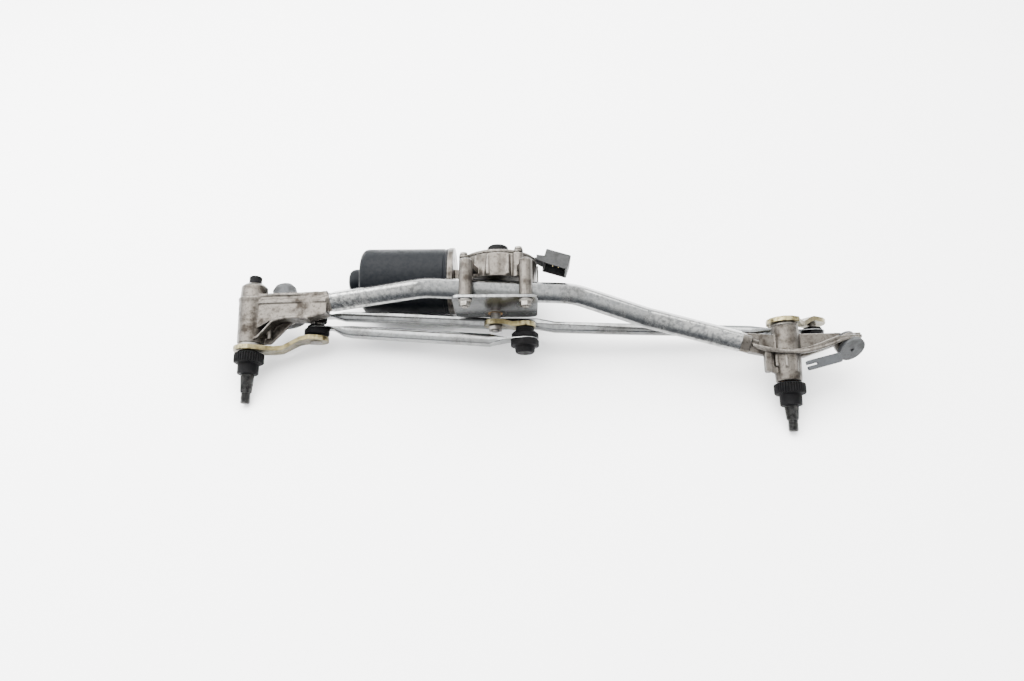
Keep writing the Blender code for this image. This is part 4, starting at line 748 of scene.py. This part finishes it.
DARK_STEEL = finish_material(
    "phosphated_steel", metallic=0.85, roughness=0.34,
    base=(0.0075, 0.0078, 0.008), stain=(0.015, 0.013, 0.011), worn=(0.10, 0.10, 0.097),
    blotch=200.0, dirt=0.5, wear=0.7, bump=0.3)
CAP_RIBS = 36
KNURLS = 40
THREAD_PITCH = 1.25


def fluted_mesh(profile, flutes, sides):
    """Closed turned body whose (radius, height, flute depth) rows may be fluted."""
    shape = bmesh.new()
    rows = []
    for radius, height, depth in profile:
        row = []
        for step in range(sides):
            angle = math.tau * step / sides
            wave = 0.5 + 0.5 * math.tanh(3.0 * math.sin(flutes * angle))
            reach = radius - depth * wave
            row.append(shape.verts.new((reach * math.cos(angle), height, reach * math.sin(angle))))
        rows.append(row)
    for low, high in zip(rows, rows[1:] + rows[:1]):
        for step in range(sides):
            after = (step + 1) % sides
            shape.faces.new((low[step], low[after], high[after], high[step]))
    return shape


def threaded_mesh(low, high, radius, depth):
    """Closed rod with a helical thread."""
    sides = 40
    rows_per_turn = 8
    count = int((high - low) / THREAD_PITCH * rows_per_turn)
    rings = []
    for index in range(count + 1):
        height = low + (high - low) * index / count
        taper = min(1.0, (height - low + 0.25) / 1.1)
        ring = []
        for step in range(sides):
            angle = math.tau * step / sides
            phase = (height / THREAD_PITCH + angle / math.tau) % 1.0
            groove = depth * (1.0 - abs(2.0 * phase - 1.0))
            reach = (radius - groove) * (0.82 + 0.18 * taper)
            ring.append(Vector((reach * math.cos(angle), height, reach * math.sin(angle))))
        rings.append(ring)
    return closed_loft(rings)


def dust_cap(side):
    """Ribbed cap over the end of a barrel."""
    node = f"{side}_dust_cap"
    low, high = extent(node, f"{side}_wipe", 1)
    rib = 1.1
    profile = [
        (6.4, low, 0.0), (9.2, low, 0.0), (10.0, low + 0.7, 0.0), (10.1, low + 9.6, 0.0),
        (10.9, low + 10.6, 0.0),
        (13.2, low + 10.8, 0.0), (14.0, low + 11.4, 0.3), (14.3, low + 12.0, rib), (14.3, high - 1.2, rib),
        (14.1, high - 0.5, 0.3), (13.4, high, 0.0), (6.4, high, 0.0),
    ]
    shape = stand_on(fluted_mesh(profile, CAP_RIBS, CAP_RIBS * 8), f"{side}_wipe")
    shown_piece(node + "_ribbed", shape, node_body(node), BLACK_PLASTIC, (node,))


def spindle(side, cone):
    """Spindle with its knurled cone and its thread."""
    node = f"{side}_spindle"
    low, high = extent(node, f"{side}_wipe", 1)
    thread_end = low + 10.2
    knurl = 0.65
    cone_end = thread_end + cone
    shape = threaded_mesh(low, thread_end + 0.4, 4.6, 0.55)
    profile = [
        (0.6, thread_end, 0.0), (4.6, thread_end, 0.0), (5.4, thread_end + 0.8, knurl),
        (6.4, cone_end - 1.2, knurl), (6.4, cone_end - 0.3, 0.0), (6.0, cone_end + 0.1, 0.0),
        (6.0, high - 0.4, 0.0), (5.6, high, 0.0), (0.6, high, 0.0),
    ]
    merge(shape, fluted_mesh(profile, KNURLS, KNURLS * 5))
    stand_on(shape, f"{side}_wipe")
    shown_piece(node + "_rolled", shape, node_body(node), DARK_STEEL, (node,))


for side, cone in (("left", 17.8), ("right", 13.0)):
    dust_cap(side)
    spindle(side, cone)


# ---------------------------------------------------------------- levers, crank and their washers
# Levers and crank pressed from thick strip, joggled and passivated yellow, which has gone dull
# and patchy.

CHROMATE = finish_material(
    "yellow_passivate", metallic=0.95, roughness=0.28,
    base=(0.090, 0.074, 0.034), stain=(0.017, 0.012, 0.006), worn=(0.34, 0.30, 0.17),
    blotch=110.0, dirt=0.75, wear=1.0, bump=0.3, scratches=0.4)
for node in ("left_lever", "right_lever", "crank_arm"):
    rounded_copy(node, CHROMATE, 0.45)
ring_again("left_thrust_washer", "left_wipe", PLAIN_STEEL)
ring_again("left_spacer", "left_wipe", DARK_STEEL)
ring_again("right_thrust_washer", "right_wipe", PLAIN_STEEL)
ring_again("right_seal", "right_wipe", BLACK_PLASTIC)
rounded_copy("crank_nut", PLAIN_STEEL, 0.4)
rounded_copy("output_shaft", PLAIN_STEEL, 0.2)
ring_again("crank_boot", "crank_turn", BLACK_PLASTIC, 0.5)
rounded_copy("left_rear_cap", BLACK_PLASTIC, 0.5)


# ---------------------------------------------------------------- rods and ball sockets
# Rods folded from zinc plated strip and flattened at their ends, where black snap sockets hold
# the greased balls.

rounded_copy("rod_1_bar", ZINC_PLATE, 0.5)
rounded_copy("rod_2_bar", ZINC_PLATE, 0.5)
for node in ("rod_1_left_socket", "rod_1_crank_socket", "rod_2_left_socket", "rod_2_right_socket"):
    rounded_copy(node, BLACK_PLASTIC, 0.4)
for node in ("left_ball_pin", "crank_ball", "crank_ball_shank", "right_lever_ball", "right_ball_shank"):
    rounded_copy(node, PLAIN_STEEL, 0.15)


# ---------------------------------------------------------------- rubber mounts
# Moulded grey grommets that the linkage hangs by, and the slate clip beside the right one.

GREY_RUBBER = finish_material(
    "grey_rubber", metallic=0.0, roughness=0.66,
    base=(0.030, 0.032, 0.034), stain=(0.013, 0.012, 0.010), worn=(0.045, 0.045, 0.043),
    blotch=90.0, dirt=0.45, wear=0.3, bump=0.3, specular=0.35)
SLATE_CLIP = finish_material(
    "slate_moulding", metallic=0.0, roughness=0.5,
    base=(0.0075, 0.0105, 0.0135), stain=(0.014, 0.014, 0.013), worn=(0.03, 0.033, 0.036),
    blotch=110.0, dirt=0.4, wear=0.5, bump=0.25)
rounded_copy("left_rubber_mount", GREY_RUBBER, 0.6)
rounded_copy("right_rubber_mount", GREY_RUBBER, 0.5)
rounded_copy("left_mount_sleeve", PLAIN_STEEL, 0.2)
rounded_copy("right_mount_clip", SLATE_CLIP, 0.4)


# ---------------------------------------------------------------- pieces inside the motor and the gearbox
# Windings, magnets, bushes and wheel, which show only when the covers are off.

INSIDE = {
    "bronze": finish_material(
        "sintered_bronze", metallic=0.9, roughness=0.42,
        base=(0.50, 0.34, 0.19), stain=(0.20, 0.13, 0.08), worn=(0.66, 0.48, 0.30),
        bump=0.4),
    "copper": finish_material(
        "wound_copper", metallic=0.9, roughness=0.35,
        base=(0.68, 0.36, 0.20), stain=(0.25, 0.12, 0.07), worn=(0.80, 0.50, 0.32),
        bump=0.5),
    "magnet": finish_material(
        "ferrite", metallic=0.0, roughness=0.7,
        base=(0.06, 0.06, 0.065), stain=(0.10, 0.095, 0.09), worn=(0.14, 0.14, 0.14),
        bump=0.5),
    "gear_plastic": finish_material(
        "acetal", metallic=0.0, roughness=0.4,
        base=(0.74, 0.71, 0.60), stain=(0.40, 0.33, 0.20), worn=(0.80, 0.78, 0.70),
        dirt=0.3),
    "brass": finish_material(
        "bright_brass", metallic=1.0, roughness=0.28,
        base=(0.70, 0.53, 0.25), stain=(0.36, 0.26, 0.12), worn=(0.85, 0.70, 0.42),
        bump=0.15),
    "steel": PLAIN_STEEL,
    "black_plastic": BLACK_PLASTIC,
}


def dress_hidden_nodes():
    """Give each CAD node that is still shown the material of its slot."""
    for name, node in frame["nodes"].items():
        if name in stood_for:
            continue
        node.data.materials.clear()
        node.data.materials.append(INSIDE[node_slot(name)])


dress_hidden_nodes()
